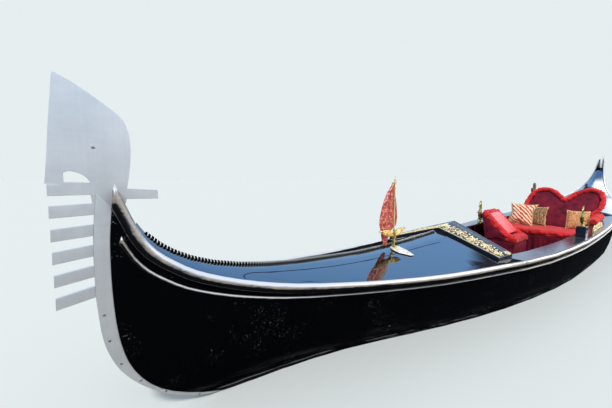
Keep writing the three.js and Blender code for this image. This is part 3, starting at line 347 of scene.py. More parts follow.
side_paint = Finish("side_paint", {"IOR": 1.5})
streaks = side_paint.cloud(9.0, 6.0, 0.7, stretch=(0.12, 1.0, 1.6))
blotches = side_paint.cloud(3.1, 5.0, 0.65)
specks = side_paint.between(side_paint.cloud(150.0, 2.0, 0.6), 0.665, 0.695)
specks = specks * side_paint.between(blotches, 0.50, 0.60)
tide = side_paint.axis("Z") + side_paint.cloud(5.0, 3.0, 0.6) * 0.03
tide_mark = side_paint.between(tide, 0.246, 0.250) * side_paint.between(tide, 0.257, 0.252)
tide_mark = tide_mark * side_paint.between(streaks, 0.44, 0.56)
scratches = side_paint.cloud(60.0, 2.0, 0.5, stretch=(0.05, 1.0, 1.1), turn=(0.0, 0.35, 0.0))
scratched = side_paint.between(scratches, 0.70, 0.76) * side_paint.between(blotches, 0.52, 0.62)
low_down = side_paint.between(side_paint.axis("Z"), 0.36, 0.21)
stained = low_down * side_paint.between(streaks, 0.45, 0.68)
side_paint.show(
    Base_Color=side_paint.blend(
        stained * 0.25 + scratched * 0.5 + specks * 0.9 + tide_mark * 0.9,
        (0.0010, 0.0011, 0.0016), (0.17, 0.18, 0.18)),
    Roughness=blotches * 0.16 + stained * 0.3 + scratched * 0.3 + 0.03,
)
side_paint.relief(streaks, 0.12, 0.004)
for side in ("port", "starboard"):
    finished(f"side_planks_{side}", welded(f"side_{side}"), side_paint, "blackLacquer",
             stands_for=[f"side_{side}"], crease=28.0)

# The flat bottom. Cross planks, tarred and painted with a dull dark coat against weed and worm; it
# lies wholly under the waterline.
bottom_coat = Finish("bottom_coat", {})
brushed = bottom_coat.cloud(14.0, 8.0, 0.75, stretch=(1.0, 0.2, 1.0))
bottom_coat.show(
    Base_Color=bottom_coat.blend(brushed, (0.010, 0.013, 0.014), (0.040, 0.052, 0.048)),
    Roughness=brushed * 0.2 + 0.5,
)
bottom_coat.relief(brushed, 0.4, 0.003)
finished("bottom_planks", eased(welded("hull_bottom"), 0.004), bottom_coat, "bottomPaint",
         stands_for=["hull_bottom"])

# Stem and stern posts. Oak timbers shaped to the curve of each end, between the side planks, and
# painted with them.
for end in ("stem", "stern"):
    finished(f"{end}_timber", eased(welded(f"{end}_post"), 0.003), side_paint, "blackLacquer",
             stands_for=[f"{end}_post"])

# The sheer rails. Half-round timbers bent round the top of each side, black too, with a painted pale highlight
# along their crown, and rubbed along their underside by ropes and fenders; aft of the step they are worn back to
# grey wood.
rail_paint = Finish("rail_paint", {"IOR": 1.9})
rubbed = rail_paint.cloud(10.0, 8.0, 0.72, stretch=(0.30, 1.0, 1.0))
fine_wear = rail_paint.cloud(60.0, 5.0, 0.7, stretch=(0.22, 1.0, 1.0))
grain = rail_paint.cloud(90.0, 4.0, 0.6, stretch=(0.06, 1.0, 1.0))
aftward = rail_paint.between(rail_paint.axis("X"), 2.466, 2.460)
facing_up = rail_paint.node(
    "ShaderNodeSeparateXYZ", {}, {0: rail_paint.node("ShaderNodeNewGeometry", output="Normal")}, output="Z")
# Painted highlight: the black paint turns pale grey the more the rail's face turns up, standing for glare on its
# crown.
crown_highlight_share = rail_paint.between(facing_up + fine_wear * 0.30, 0.36, 0.78)
flank = rail_paint.between(facing_up, 0.66, 0.36) * rail_paint.between(facing_up, -0.25, 0.15)
aft_wear = rail_paint.between(rail_paint.axis("X"), 4.3, 2.2)
worn = rail_paint.between(rubbed * (flank + aft_wear * 0.30) + fine_wear * 0.35 + aftward * 0.20, 0.48, 0.74)
bare_wood = rail_paint.blend(grain, (0.055, 0.040, 0.028), (0.44, 0.36, 0.27))
lacquer_and_highlight = rail_paint.blend(crown_highlight_share, (0.004, 0.004, 0.005), (0.60, 0.605, 0.62))
rail_paint.show(
    Base_Color=rail_paint.blend(worn * 0.8, lacquer_and_highlight, bare_wood),
    Roughness=worn * 0.34 + fine_wear * 0.10 + 0.12,
)
rail_paint.relief(fine_wear - worn * 0.3, 0.25, 0.002)
for side in ("port", "starboard"):
    for stretch in ("fore", "aft"):
        finished(f"rail_{stretch}_{side}_timber", welded(f"rail_{stretch}_{side}"), rail_paint,
                 "blackLacquer", stands_for=[f"rail_{stretch}_{side}"], crease=62.0, even=False)
    finished(f"moulding_{side}_strip", welded(f"moulding_{side}"), rail_paint, "blackLacquer",
             stands_for=[f"moulding_{side}"], crease=70.0, even=False)

# The decks. Thin boards laid to a crest like a low roof, faired, and varnished over black until
# they mirror the sky; the fore deck carries a raised panel on each slope.
deck_gloss = Finish("deck_gloss", {"IOR": 2.3})
waves = deck_gloss.cloud(2.2, 2.0, 0.4, stretch=(0.5, 1.0, 1.0))
dust = deck_gloss.cloud(35.0, 6.0, 0.7)
deck_gloss.show(
    Base_Color=deck_gloss.blend(deck_gloss.between(dust, 0.55, 0.9),
        (0.004, 0.005, 0.007), (0.030, 0.032, 0.038)),
    Roughness=deck_gloss.between(dust, 0.45, 0.8) * 0.07 + 0.025,
)
deck_gloss.relief(waves, 0.10, 0.01)
for node in ("fore_deck", "aft_deck"):
    finished(f"{node}_boards", welded(node), deck_gloss, "blackLacquer", stands_for=[node], crease=35.0)

# The bow iron. Plate forged and filed to a blade over six teeth, pale and satin, with fine file and
# polish marks up and across it; a broader band runs on down the stem, nailed through.
iron = Finish("filed_iron", {"Metallic": 0.45})
up_marks = iron.cloud(80.0, 5.0, 0.75, stretch=(1.0, 1.0, 0.035))
cross_marks = iron.cloud(70.0, 5.0, 0.75, stretch=(0.04, 1.0, 1.0))
tarnish = iron.cloud(6.0, 6.0, 0.65)
pits = iron.between(iron.cloud(140.0, 2.0, 0.5), 0.70, 0.78)
scored = iron.between(iron.cloud(13.0, 2.0, 0.5, stretch=(0.12, 1.0, 1.0), turn=(0.0, 0.55, 0.0)), 0.70, 0.73)
marks = up_marks * 0.5 + cross_marks * 0.5
iron.show(
    Base_Color=iron.blend(
        iron.between(marks * 0.45 + tarnish * 0.55 + scored * 0.4 - pits * 0.3, 0.25, 0.85),
        (0.50, 0.515, 0.525), (0.66, 0.67, 0.675)),
    Roughness=marks * 0.16 + tarnish * 0.12 + 0.30,
)
iron.relief(marks - pits * 0.5, 0.10, 0.0006)


SAME_PLACE = 1e-6


def side_outlines(node, level):
    """The closed outlines, in X and Z, of a node's flat faces that face port at a level of Y."""
    mesh = welded(node)
    flat = {f for f in mesh.faces if f.normal.y > 0.999 and abs(f.calc_center_median().y - level) < WELD}
    loops = [[Vector((place.x, place.z)) for place in loop] for loop in rims(mesh, flat)]
    mesh.free()
    return loops


def rims(mesh, flat):
    """The closed loops of places round a set of a mesh's faces."""
    follows = {}
    for edge in mesh.edges:
        if sum(f in flat for f in edge.link_faces) == 1:
            for one, other in (edge.verts, reversed(edge.verts)):
                follows.setdefault(one, []).append(other)
    loops = []
    while follows:
        loop = [next(iter(follows))]
        while follows.get(loop[-1]):
            here = loop[-1]
            there = follows[here].pop()
            follows[there].remove(here)
            loop.append(there)
        for vertex in set(loop):
            if not follows.get(vertex):
                follows.pop(vertex, None)
        if len(loop) > 3:
            loops.append([v.co.copy() for v in loop[:-1]])
    return loops


def faired(loop, gentle=34.0, rounds=3):
    """Cuts the gentle corners of an outline to a fair curve and leaves its true corners sharp."""
    for _ in range(rounds):
        fair = []
        for before, here, after in zip([loop[-1]] + loop[:-1], loop, loop[1:] + loop[:1]):
            if (here - before).length < 1e-5:
                continue
            if abs((here - before).angle_signed(after - here, 0.0)) < math.radians(gentle):
                fair += [here.lerp(before, 0.25), here.lerp(after, 0.25)]
            else:
                fair.append(here)
        loop = fair
    return loop


def meshed(curve):
    """A curve's shape as one closed mesh; the curve is taken away."""
    holder = bpy.data.objects.new("curve", curve)
    data = bpy.data.meshes.new_from_object(holder)
    mesh = bmesh.new()
    mesh.from_mesh(data)
    bpy.data.objects.remove(holder)
    bpy.data.curves.remove(curve)
    bpy.data.meshes.remove(data)
    bmesh.ops.remove_doubles(mesh, verts=mesh.verts, dist=SAME_PLACE)
    return mesh


def plate(loops, half, edge=0.0016):
    """A flat plate with eased edges, square to Y, from its outlines."""
    curve = bpy.data.curves.new("plate", "CURVE")
    curve.dimensions = "2D"
    curve.fill_mode = "BOTH"
    curve.extrude = half - edge
    curve.bevel_depth = edge
    curve.offset = -edge
    curve.bevel_resolution = 1
    for loop in loops:
        spline = curve.splines.new("POLY")
        spline.points.add(len(loop) - 1)
        spline.use_cyclic_u = True
        for knot, place in zip(spline.points, loop):
            knot.co = (*place, 0.0, 1.0)
    mesh = meshed(curve)
    upright = Matrix.Rotation(math.radians(90.0), 3, "X")
    bmesh.ops.rotate(mesh, cent=(0.0, 0.0, 0.0), matrix=upright, verts=mesh.verts)
    bmesh.ops.recalc_face_normals(mesh, faces=mesh.faces)
    return mesh


for node, levels in (("bow_iron", (0.008, 0.030)), ("stern_iron", (0.008, 0.035))):
    for part, half in zip(("blade", "band"), levels):
        outlines = [faired(loop) for loop in side_outlines(node, half)]
        finished(f"{node}_{part}", plate(outlines, half), iron, "iron", stands_for=[node], crease=35.0)

# Rivets. One through the blade, and a row of nails down each face of the band on the stem, with low
# round heads gone dark.
nail_iron = Finish("nail_iron", {"Metallic": 0.8})
nail_iron.show(
    Base_Color=nail_iron.blend(nail_iron.cloud(300.0), (0.10, 0.10, 0.102), (0.50, 0.50, 0.51)),
    Roughness=nail_iron.cloud(200.0) * 0.3 + 0.3,
)
BLADE_RIVET = (5.262, 1.493)
NAIL_HEIGHTS = (0.24, 0.33, 0.43, 0.54, 0.66, 0.78)
NAIL_INSET = 0.020
NAIL_RADIUS = 0.006
RIVET_RADIUS = 0.0075
iron_skin = BVHTree.FromBMesh(welded("bow_iron"))
heads = bmesh.new()


def headed(mesh, x, z, radius):
    """Sets a low round head on each face of the bow iron."""
    for way in (1.0, -1.0):
        struck = iron_skin.ray_cast(Vector((x, way, z)), Vector((0.0, -way, 0.0)))[0]
        if struck is None:
            continue
        place = Matrix.Translation(struck) @ Matrix.Diagonal((1.0, 0.42, 1.0, 1.0))
        bmesh.ops.create_uvsphere(mesh, u_segments=14, v_segments=8, radius=radius, matrix=place)


headed(heads, *BLADE_RIVET, RIVET_RADIUS)
for height_up in NAIL_HEIGHTS:
    front = iron_skin.ray_cast(Vector((7.0, 0.0, height_up)), Vector((-1.0, 0.0, 0.0)))[0]
    headed(heads, front.x - NAIL_INSET, height_up, NAIL_RADIUS)
finished("iron_nails", heads, nail_iron, "iron")


# The raised panels. A thin board on each slope of the fore deck, faired away to nothing along the
# rail, with an open black joint round its nose and along the edge that lies below the crest.
JOINT_HALF = 0.0048
JOINT_LIFT = Vector((0.0, 0.0, -0.0034))
PANEL_SUNK = 0.0006
JOINT_RUN = (
    (4.560, 0.232), (4.610, 0.218), (4.645, 0.196), (4.668, 0.170), (4.668, 0.146),
    (4.645, 0.126), (4.600, 0.113),
    (4.520, 0.115), (4.430, 0.119), (4.300, 0.127), (4.187, 0.137), (4.060, 0.148),
    (3.936, 0.151), (3.799, 0.152),
    (3.641, 0.152), (3.444, 0.153), (3.225, 0.155), (3.010, 0.163), (2.790, 0.180))
joint_black = Finish("joint_black", {"Specular IOR Level": 0.05})
joint_black.show(
    Base_Color=joint_black.blend(joint_black.cloud(40.0), (0.001, 0.001, 0.001), (0.008, 0.008, 0.009)),
    Roughness=joint_black.cloud(30.0) * 0.2 + 0.6,
)
deck_under = BVHTree.FromBMesh(welded("fore_deck"))


def bars(paths, sides=8, kind="POLY", closed=False):
    """Round bars of changing thickness bent along paths, as one mesh: (points, radii) for each."""
    curve = bpy.data.curves.new("bent_bars", "CURVE")
    curve.dimensions = "3D"
    curve.bevel_depth = 1.0
    curve.bevel_resolution = (sides - 4) // 2
    curve.use_fill_caps = not closed
    for points, radii in paths:
        spline = curve.splines.new(kind)
        spline.points.add(len(points) - 1)
        for knot, place, radius in zip(spline.points, points, radii):
            knot.co = (*place, 1.0)
            knot.radius = radius
        spline.use_cyclic_u = closed
        if kind == "NURBS":
            spline.order_u = min(4, len(points))
            spline.use_endpoint_u = not closed
            spline.resolution_u = 5
    mesh = meshed(curve)
    bmesh.ops.recalc_face_normals(mesh, faces=mesh.faces)
    return mesh


for side, share in (("port", 1.0), ("starboard", -0.72)):
    shape = welded(f"deck_panel_{side}")
    top = {f for f in shape.faces if f.normal.z > 0.5}
    for vertex in {v for f in top for v in f.verts}:
        deck = deck_under.ray_cast(Vector((vertex.co.x, vertex.co.y, 3.0)), Vector((0.0, 0.0, -1.0)))[0]
        if deck:
            vertex.co.z = min(vertex.co.z, deck.z - PANEL_SUNK)
    panel_top = BVHTree.FromBMesh(shape)
    joint = []
    for x, y in JOINT_RUN:
        above, down = Vector((x, y * share, 3.0)), Vector((0.0, 0.0, -1.0))
        struck = panel_top.ray_cast(above, down)[0] or deck_under.ray_cast(above, down)[0]
        if struck:
            joint.append(struck + JOINT_LIFT)
    finished(f"deck_panel_{side}_board", shape, deck_gloss, "blackLacquer", stands_for=[f"deck_panel_{side}"],
             crease=35.0)
    finished(f"deck_joint_{side}", bars([(joint, [JOINT_HALF] * len(joint))], 6), joint_black, "blackLacquer",
             even=False)


# The crest bead. A black half-round rod nailed along the crest of the fore deck from the bow iron to the
# carved board, wound tightly with one near-white cord whose white is the painted glints of the twisted bead.
def walked(path, lay, steps):
    """Even steps along a path, each as (how far along, place, heading), and the path's length."""
    lengths = [0.0]
    for start, end in zip(path, path[1:]):
        lengths.append(lengths[-1] + (end - start).length)
    count = int(lengths[-1] / lay * steps)
    stops, leg = [], 0
    for number in range(count + 1):
        along = lengths[-1] * number / count
        while leg < len(lengths) - 2 and lengths[leg + 1] < along:
            leg += 1
        share = (along - lengths[leg]) / (lengths[leg + 1] - lengths[leg])
        stops.append((along, path[leg].lerp(path[leg + 1], share), (path[leg + 1] - path[leg]).normalized()))
    return stops, lengths[-1]


def wound(path, lay, reach, thick, steps=10):
    """One cord wound round a path: its points and radii. lay is the length of a turn."""
    points = []
    for along, centre, forward in walked(path, lay, steps)[0]:
        aside = forward.cross(Vector((0.0, 0.0, 1.0))).normalized()
        up = aside.cross(forward)
        turn = 2.0 * math.pi * (along / lay)
        points.append(centre + reach * (math.cos(turn) * up + math.sin(turn) * aside))
    return points, [thick] * len(points)


# Painted glints: the cord is near white, so the bead shows a row of bright dots under any lamp.
painted_glint_white = Finish("painted_glint_strand", {"IOR": 1.5})
painted_glint_white.show(
    Base_Color=painted_glint_white.blend(painted_glint_white.cloud(55.0, 5.0), (0.80, 0.80, 0.79), (0.97, 0.97, 0.95)),
    Roughness=painted_glint_white.cloud(80.0) * 0.25 + 0.22,
)
CORD_LAY = 0.018
CORD_REACH = 0.0048
CORD_RADIUS = 0.0032
ROD_RADIUS = 0.0072
BEAD_END = 0.003
ROPE_STATIONS = 90
bead_skin = BVHTree.FromBMesh(welded("crest_bead"))
bead_low, bead_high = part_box("crest_bead")
bead_path = []
for number in range(ROPE_STATIONS + 1):
    x = bead_low[0] + BEAD_END + (bead_high[0] - bead_low[0] - 2.0 * BEAD_END) * number / ROPE_STATIONS
    roof = bead_skin.ray_cast(Vector((x, 0.0006, 3.0)), Vector((0.0, 0.0, -1.0)))[0]
    foot = bead_skin.ray_cast(Vector((x, 0.0006, -1.0)), Vector((0.0, 0.0, 1.0)))[0]
    if roof and foot:
        bead_path.append(Vector((x, 0.0, (roof.z + foot.z) / 2.0)))
finished("crest_rod", bars([(bead_path, [ROD_RADIUS] * len(bead_path))], 8), joint_black, "blackLacquer",
         stands_for=["crest_bead"], even=False)
finished("crest_cord", bars([wound(bead_path, CORD_LAY, CORD_REACH, CORD_RADIUS)], 6), painted_glint_white, "gilding",
         stands_for=["crest_bead"], even=False)

# The carved board. A board closing the after end of the fore deck, gloss blue-black, carved all over
# with running scrolls and leaves that are gilded cream, a plain lip in front and a rope behind.
board_black = Finish("board_black", {"IOR": 1.4})
board_black.show(
    Base_Color=board_black.blend(board_black.cloud(26.0, 6.0), (0.002, 0.003, 0.009), (0.010, 0.013, 0.030)),
    Roughness=board_black.cloud(40.0) * 0.2 + 0.16,
)
gilded = Finish("cream_gilding", {"Metallic": 0.22, "IOR": 1.6})
gold_wear = gilded.cloud(42.0, 6.0, 0.7)
gilded.show(
    Base_Color=gilded.blend(gilded.between(gold_wear, 0.30, 0.62), (0.40, 0.26, 0.075), (0.90, 0.76, 0.40)),
    Roughness=gold_wear * 0.3 + 0.2,
)
gilded.relief(gilded.cloud(150.0, 4.0), 0.35, 0.0015)
board_mesh = eased(welded("carved_board"), 0.003)
board_skin = BVHTree.FromBMesh(board_mesh)
finished("board_ground", board_mesh, board_black, "blackLacquer", stands_for=["carved_board"])
FLUTE_PITCH = 0.0125
FLUTED_FROM = 0.68
FRONT_CREST, FRONT_CORNER = 2.514, 2.6907
BACK_CREST, BACK_CORNER = 2.184, 2.5002
BOARD_PORT, BOARD_STARBOARD = 0.641, 0.4627
SIDE_LENGTHS = {1: 0.665, -1: 0.495}
CREST_WIDTH, CORNER_WIDTH = 0.330, 0.190
BOARD_EDGE_TOP = 0.760
CARVED_BACK = 0.62
CARVED_MIDDLE = 0.35


def on_board(side, across, back, lift):
    """A place on the board: across from crest (0) to corner (1), back from its lip (0) to its rope (1)."""
    across = min(0.985, max(0.004, across))
    front_x = FRONT_CREST + (FRONT_CORNER - FRONT_CREST) * across
    back_x = BACK_CREST + (BACK_CORNER - BACK_CREST) * across
    y = across * BOARD_PORT if side > 0 else -across * BOARD_STARBOARD
    above = Vector((front_x + (back_x - front_x) * back, y, 3.0))
    hit, normal = board_skin.ray_cast(above, Vector((0.0, 0.0, -1.0)))[:2]
    if hit is None:
        hit, normal = board_skin.find_nearest(Vector((above.x, above.y, BOARD_EDGE_TOP)))[:2]
    return hit + normal * lift


def leaf_bar(side, start, turn, length, bend, thick, steps=5):
    """A carved leaf: a bar that swells and thins, curling as it goes. start is (across, back)."""
    points, radii, place, heading = [], [], list(start), turn
    for number in range(steps + 1):
        share = number / steps
        width = CREST_WIDTH + (CORNER_WIDTH - CREST_WIDTH) * place[0]
        points.append(on_board(side, place[0], min(CARVED_BACK, max(0.09, place[1])), thick * 0.15))
        radii.append(thick * (0.22 + 0.78 * math.sin(math.pi * (0.12 + 0.84 * share)) ** 0.8))
        place[0] += math.cos(heading) * length / steps / SIDE_LENGTHS[side]
        place[1] += math.sin(heading) * length / steps / width
        heading += bend / steps
    return points, radii


def scroll_bar(side, centre, radius, start, turns, thick, steps=26):
    """A carved volute that winds inwards."""
    points, radii = [], []
    width = CREST_WIDTH + (CORNER_WIDTH - CREST_WIDTH) * centre[0]
    for number in range(steps + 1):
        share = number / steps
        angle = start + turns * 2.0 * math.pi * share
        reach = radius * (1.0 - 0.86 * share)
        points.append(on_board(
            side, centre[0] + reach * math.cos(angle) / SIDE_LENGTHS[side],
            min(0.93, max(0.09, centre[1] + reach * math.sin(angle) / width)), thick * 0.15))
        radii.append(thick * (1.0 - 0.45 * share))
    return points, radii


carving = []
SCROLL_CELLS = {1: 4, -1: 3}
LEAVES_ROUND = 9
for side, cells in SCROLL_CELLS.items():
    for cell in range(cells):
        way = 1 if cell % 2 else -1
        centre = (0.085 + 0.80 * (cell + 0.42) / cells, CARVED_MIDDLE + way * 0.035)
        width = CREST_WIDTH + (CORNER_WIDTH - CREST_WIDTH) * centre[0]
        radius = min(0.17 * width, 0.34 * SIDE_LENGTHS[side] / cells)
        carving.append(scroll_bar(side, centre, radius, way * 2.2, way * 1.65, 0.0068))
        for number in range(LEAVES_ROUND):
            angle = 2.0 * math.pi * (number + 0.5 * (cell % 2)) / LEAVES_ROUND
            root = (
                centre[0] + radius * 1.12 * math.cos(angle) / SIDE_LENGTHS[side],
                centre[1] + radius * 1.12 * math.sin(angle) / width,
            )
            length = radius * (0.80 if number % 2 else 1.05)
            carving.append(leaf_bar(side, root, angle + 0.5 * way, length, way * 1.3, 0.0082))
        for ahead, aside, turn, length, bend, thick in (
                (0.34, 0.20, 0.9, 0.075, -1.6, 0.0085), (0.38, 0.08, 0.5, 0.085, 1.8, 0.0078)):
            root = (centre[0] + ahead / cells, CARVED_MIDDLE - way * aside)
            carving.append(leaf_bar(side, root, way * turn, length, way * bend, thick))
    for corner_leaf in (
            ((0.875, 0.12), 0.9, 0.075, 1.1, 0.0085), ((0.885, 0.54), -0.8, 0.070, -1.0, 0.0085),
            ((0.890, 0.34), 0.1, 0.045, 0.2, 0.0090)):
        carving.append(leaf_bar(side, *corner_leaf))
    carving.append(scroll_bar(side, (0.950, 0.82), 0.019, 0.4, 1.3, 0.0070))
    for number in range(5):
        turn = 3.9 + number * 0.62
        curl = (0.950 + 0.030 * math.cos(turn), 0.82 + 0.11 * math.sin(turn))
        carving.append(scroll_bar(side, curl, 0.009, turn, 0.8, 0.0062, steps=8))
for turn in (-1.0, -0.45, 0.0, 0.45, 1.0):
    for side in (1, -1):
        carving.append(leaf_bar(side, (0.006, CARVED_MIDDLE), 1.35 * turn, 0.070, 0.5 * turn, 0.0092))
finished("board_scrolls", bars(carving, 8), gilded, "blackLacquer", crease=60.0, even=False)


def across_board(back, lift, steps=44):
    """A line from the starboard corner over the crest to the port corner."""
    shares = [number / steps for number in range(steps + 1)]
    return [on_board(-1, 0.985 - 0.981 * share, back, lift) for share in shares] + [
        on_board(1, 0.004 + 0.981 * share, back, lift) for share in shares]


lip = across_board(0.035, 0.001)
finished("board_lip", bars([(lip, [0.0048] * len(lip))], 8), gilded, "blackLacquer", even=False)
edge_line = across_board(0.975, 0.001)
flutes = [(edge_line, [0.0034] * len(edge_line))]
for side, length in SIDE_LENGTHS.items():
    count = int(length * 0.97 / FLUTE_PITCH)
    for number in range(count):
        across = 0.004 + 0.925 * number / count
        flutes.append((
            [on_board(side, across + 0.045 * share, FLUTED_FROM + (0.935 - FLUTED_FROM) * share, -0.0006)
             for share in (0.0, 0.33, 0.67, 1.0)], [0.0012, 0.0022, 0.0022, 0.0012]))
fluted = Finish("fluted_edge", {"IOR": 1.5})
fluted.show(
    Base_Color=fluted.blend(fluted.cloud(30.0, 5.0), (0.05, 0.055, 0.075), (0.34, 0.355, 0.40)),
    Roughness=fluted.cloud(60.0) * 0.2 + 0.25,
)
finished("board_flutes", bars(flutes, 6), fluted, "blackLacquer", even=False)

# The bulkheads and locker doors. A boarded bulkhead closes the space under each deck; its door is
# framed round a raised panel, hung on two brass hinges and pulled by a turned brass knob.
brass = Finish("brass", {"Metallic": 1.0})
brass_tone = brass.cloud(30.0, 5.0, 0.65)
brass.show(
    Base_Color=brass.blend(brass.between(brass_tone, 0.35, 0.70), (0.24, 0.15, 0.035), (0.70, 0.51, 0.18)),
    Roughness=brass_tone * 0.30 + 0.20,
)
brass.relief(brass.cloud(90.0, 4.0), 0.15, 0.001)
cabin_paint = Finish("cabin_paint", {"IOR": 1.5})
brush_marks = cabin_paint.cloud(24.0, 6.0, 0.7, stretch=(1.0, 1.0, 0.15))
cabin_paint.show(
    Base_Color=cabin_paint.blend(brush_marks, (0.006, 0.006, 0.008), (0.018, 0.018, 0.022)),
    Roughness=brush_marks * 0.22 + 0.14,
)
cabin_paint.relief(brush_marks, 0.25, 0.002)
BRASS_PROUD = 0.0092
DOOR_EASE = 0.0012
MOULDING_RADIUS = 0.0055
PANEL_THICK = 0.008
PANEL_EASE = 0.0035
HINGE_LINE_Y = 0.25
HINGE_GRIP = 0.016
KNOB_Y = -0.096
KNOB_GRIP = 0.018
DOOR_FRAME = 0.036
DOOR_MARGIN = 0.014


def gilt_where(piece, finish, inside):
    """Gives a second finish to the faces whose middles pass the test."""
    piece.data.materials.append(finish.material)
    for polygon in piece.data.polygons:
        if inside(polygon.center):
            polygon.material_index = 1


for end, panel_x, out in (("fore", 2.584, -1), ("aft", -1.576, 1)):
    shape = eased(welded(f"{end}_bulkhead"), DOOR_EASE)
    wall_piece = finished(f"{end}_bulkhead_boards", shape, cabin_paint, "blackLacquer",
                          stands_for=[f"{end}_bulkhead"])
    gilt_where(wall_piece, brass, lambda c, x=panel_x, out=out: (
        abs(c.y - HINGE_LINE_Y) < HINGE_GRIP and (c.x - x) * out > BRASS_PROUD))
    shape = eased(welded(f"{end}_door"), DOOR_EASE)
    low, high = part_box(f"{end}_door")
    middle = Vector((panel_x + out * 0.3, (low[1] + high[1]) / 2.0, (low[2] + high[2]) / 2.0))
    face_x = BVHTree.FromBMesh(shape).ray_cast(middle, Vector((-out, 0.0, 0.0)))[0].x
    door_piece = finished(f"{end}_door_boards", shape, cabin_paint, "blackLacquer",
                          body=f"{end}_door", stands_for=[f"{end}_door"])
    gilt_where(door_piece, brass, lambda c, x=panel_x, out=out: (
        (c.x - x) * out > BRASS_PROUD and (abs(c.y - HINGE_LINE_Y) < HINGE_GRIP or abs(c.y - KNOB_Y) < KNOB_GRIP)))
    inside_y = (KNOB_Y + KNOB_GRIP + DOOR_MARGIN, HINGE_LINE_Y - HINGE_GRIP - DOOR_MARGIN)
    inside_z = (low[2] + DOOR_FRAME, high[2] - DOOR_FRAME)
    ring = [Vector((face_x, inside_y[a], inside_z[b])) for a, b in ((0, 0), (1, 0), (1, 1), (0, 1))]
    moulding = bars([(ring, [MOULDING_RADIUS] * len(ring))], 8, closed=True)
    finished(f"{end}_door_moulding", moulding, cabin_paint, "blackLacquer", body=f"{end}_door")
    raised = bmesh.new()
    bmesh.ops.create_cube(raised, size=1.0)
    bmesh.ops.scale(raised, verts=raised.verts, vec=(
        PANEL_THICK, inside_y[1] - inside_y[0] - DOOR_FRAME, inside_z[1] - inside_z[0] - DOOR_FRAME))
    bmesh.ops.translate(raised, verts=raised.verts, vec=(ring[0] + ring[2]) / 2.0)
    finished(f"{end}_door_panel", eased(raised, PANEL_EASE), cabin_paint, "blackLacquer", body=f"{end}_door")

# The open hull inside. Ribs and keelson carry loose floorboards laid fore and aft, and narrow decks
# along each side, varnished like the fore deck and jointed across.
finished("rib_frames", eased(welded("ribs"), 0.0015), cabin_paint, "blackLacquer", stands_for=["ribs"])


def seam(finish, letter, spacing, share):
    """1 on the joints between boards that are laid side by side along an axis."""
    step = finish.node("ShaderNodeMath", {"operation": "FRACT"}, {0: finish.axis(letter) / spacing})
    off_middle = finish.node("ShaderNodeMath", {"operation": "ABSOLUTE"}, {0: step - 0.5})
    return finish.between(off_middle, 0.5 - share, 0.5)


floor_boards = Finish("floor_boards", {"IOR": 1.5})
trodden = floor_boards.cloud(9.0, 7.0, 0.7)
board_grain = floor_boards.cloud(60.0, 5.0, 0.65, stretch=(0.05, 1.0, 1.0))
gaps = seam(floor_boards, "Y", 0.097, 0.03)
floor_boards.show(
    Base_Color=floor_boards.blend(
        floor_boards.between(trodden, 0.42, 0.75) * (1.0 - gaps),
        (0.010, 0.010, 0.011), (0.085, 0.075, 0.062)),
    Roughness=trodden * 0.35 + 0.25,
)
floor_boards.relief(board_grain * 0.3 - gaps, 0.6, 0.004)
finished("floor_boarding", eased(welded("floorboards"), 0.003), floor_boards, "blackLacquer",
         stands_for=["floorboards"])
side_gloss = Finish("side_deck_gloss", {"IOR": 2.2})
# Dust and painted reflection: soft patches lift the boards from black to a dusty grey, partly dust, partly the sky
# they mirror.
side_dust_and_reflection = side_gloss.cloud(20.0, 6.0, 0.7)
side_joints = seam(side_gloss, "X", 0.62, 0.007)
side_gloss.show(
    Base_Color=side_gloss.blend(side_gloss.between(side_dust_and_reflection, 0.45, 0.8),
        (0.020, 0.023, 0.030), (0.075, 0.080, 0.090)),
    Roughness=side_gloss.between(side_dust_and_reflection, 0.4, 0.8) * 0.12 + 0.12,
)
side_gloss.relief(side_gloss.cloud(3.0, 2.0, 0.4) * 0.3 - side_joints, 0.5, 0.004)
for side in ("port", "starboard"):
    node = f"side_deck_{side}"
    finished(f"{node}_boards", eased(welded(node), 0.003), side_gloss, "blackLacquer", stands_for=[node])


# The sofa's box. A wooden box covered to the floor in dark velvet that is gathered into a skirt.
def skinned(mesh, voxel):
    """One even skin over a mesh, as a new mesh."""
    data = bpy.data.meshes.new("skin")
    mesh.to_mesh(data)
    mesh.free()
    holder = bpy.data.objects.new("skin", data)
    scene.collection.objects.link(holder)
    remesh = holder.modifiers.new("skin", "REMESH")
    remesh.mode = "VOXEL"
    remesh.voxel_size = voxel
    even = bpy.data.meshes.new_from_object(holder.evaluated_get(bpy.context.evaluated_depsgraph_get()))
    skin = bmesh.new()
    skin.from_mesh(even)
    bpy.data.objects.remove(holder)
    bpy.data.meshes.remove(data)
    bpy.data.meshes.remove(even)
    return skin


def stuffed(mesh, cap, pressure=4.0, frames=20):
    """Lets the padding press its cover outwards, no point further than the cap."""
    data = bpy.data.meshes.new("cover")
    mesh.to_mesh(data)
    holder = bpy.data.objects.new("cover", data)
    scene.collection.objects.link(holder)
    padding = holder.modifiers.new("padding", "CLOTH")
    padding.settings.use_pressure = True
    padding.settings.uniform_pressure_force = pressure
    padding.settings.effector_weights.gravity = 0.0
    padding.point_cache.frame_end = frames
    for step in range(1, frames + 1):
        scene.frame_set(step)
    pressed = holder.evaluated_get(bpy.context.evaluated_depsgraph_get()).data
    for vertex, moved in zip(mesh.verts, [v.co.copy() for v in pressed.vertices]):
        step = moved - vertex.co
        vertex.co += step * min(1.0, cap / max(step.length, 1e-9))
    scene.frame_set(1)
    bpy.data.objects.remove(holder)
    bpy.data.meshes.remove(data)
    return mesh


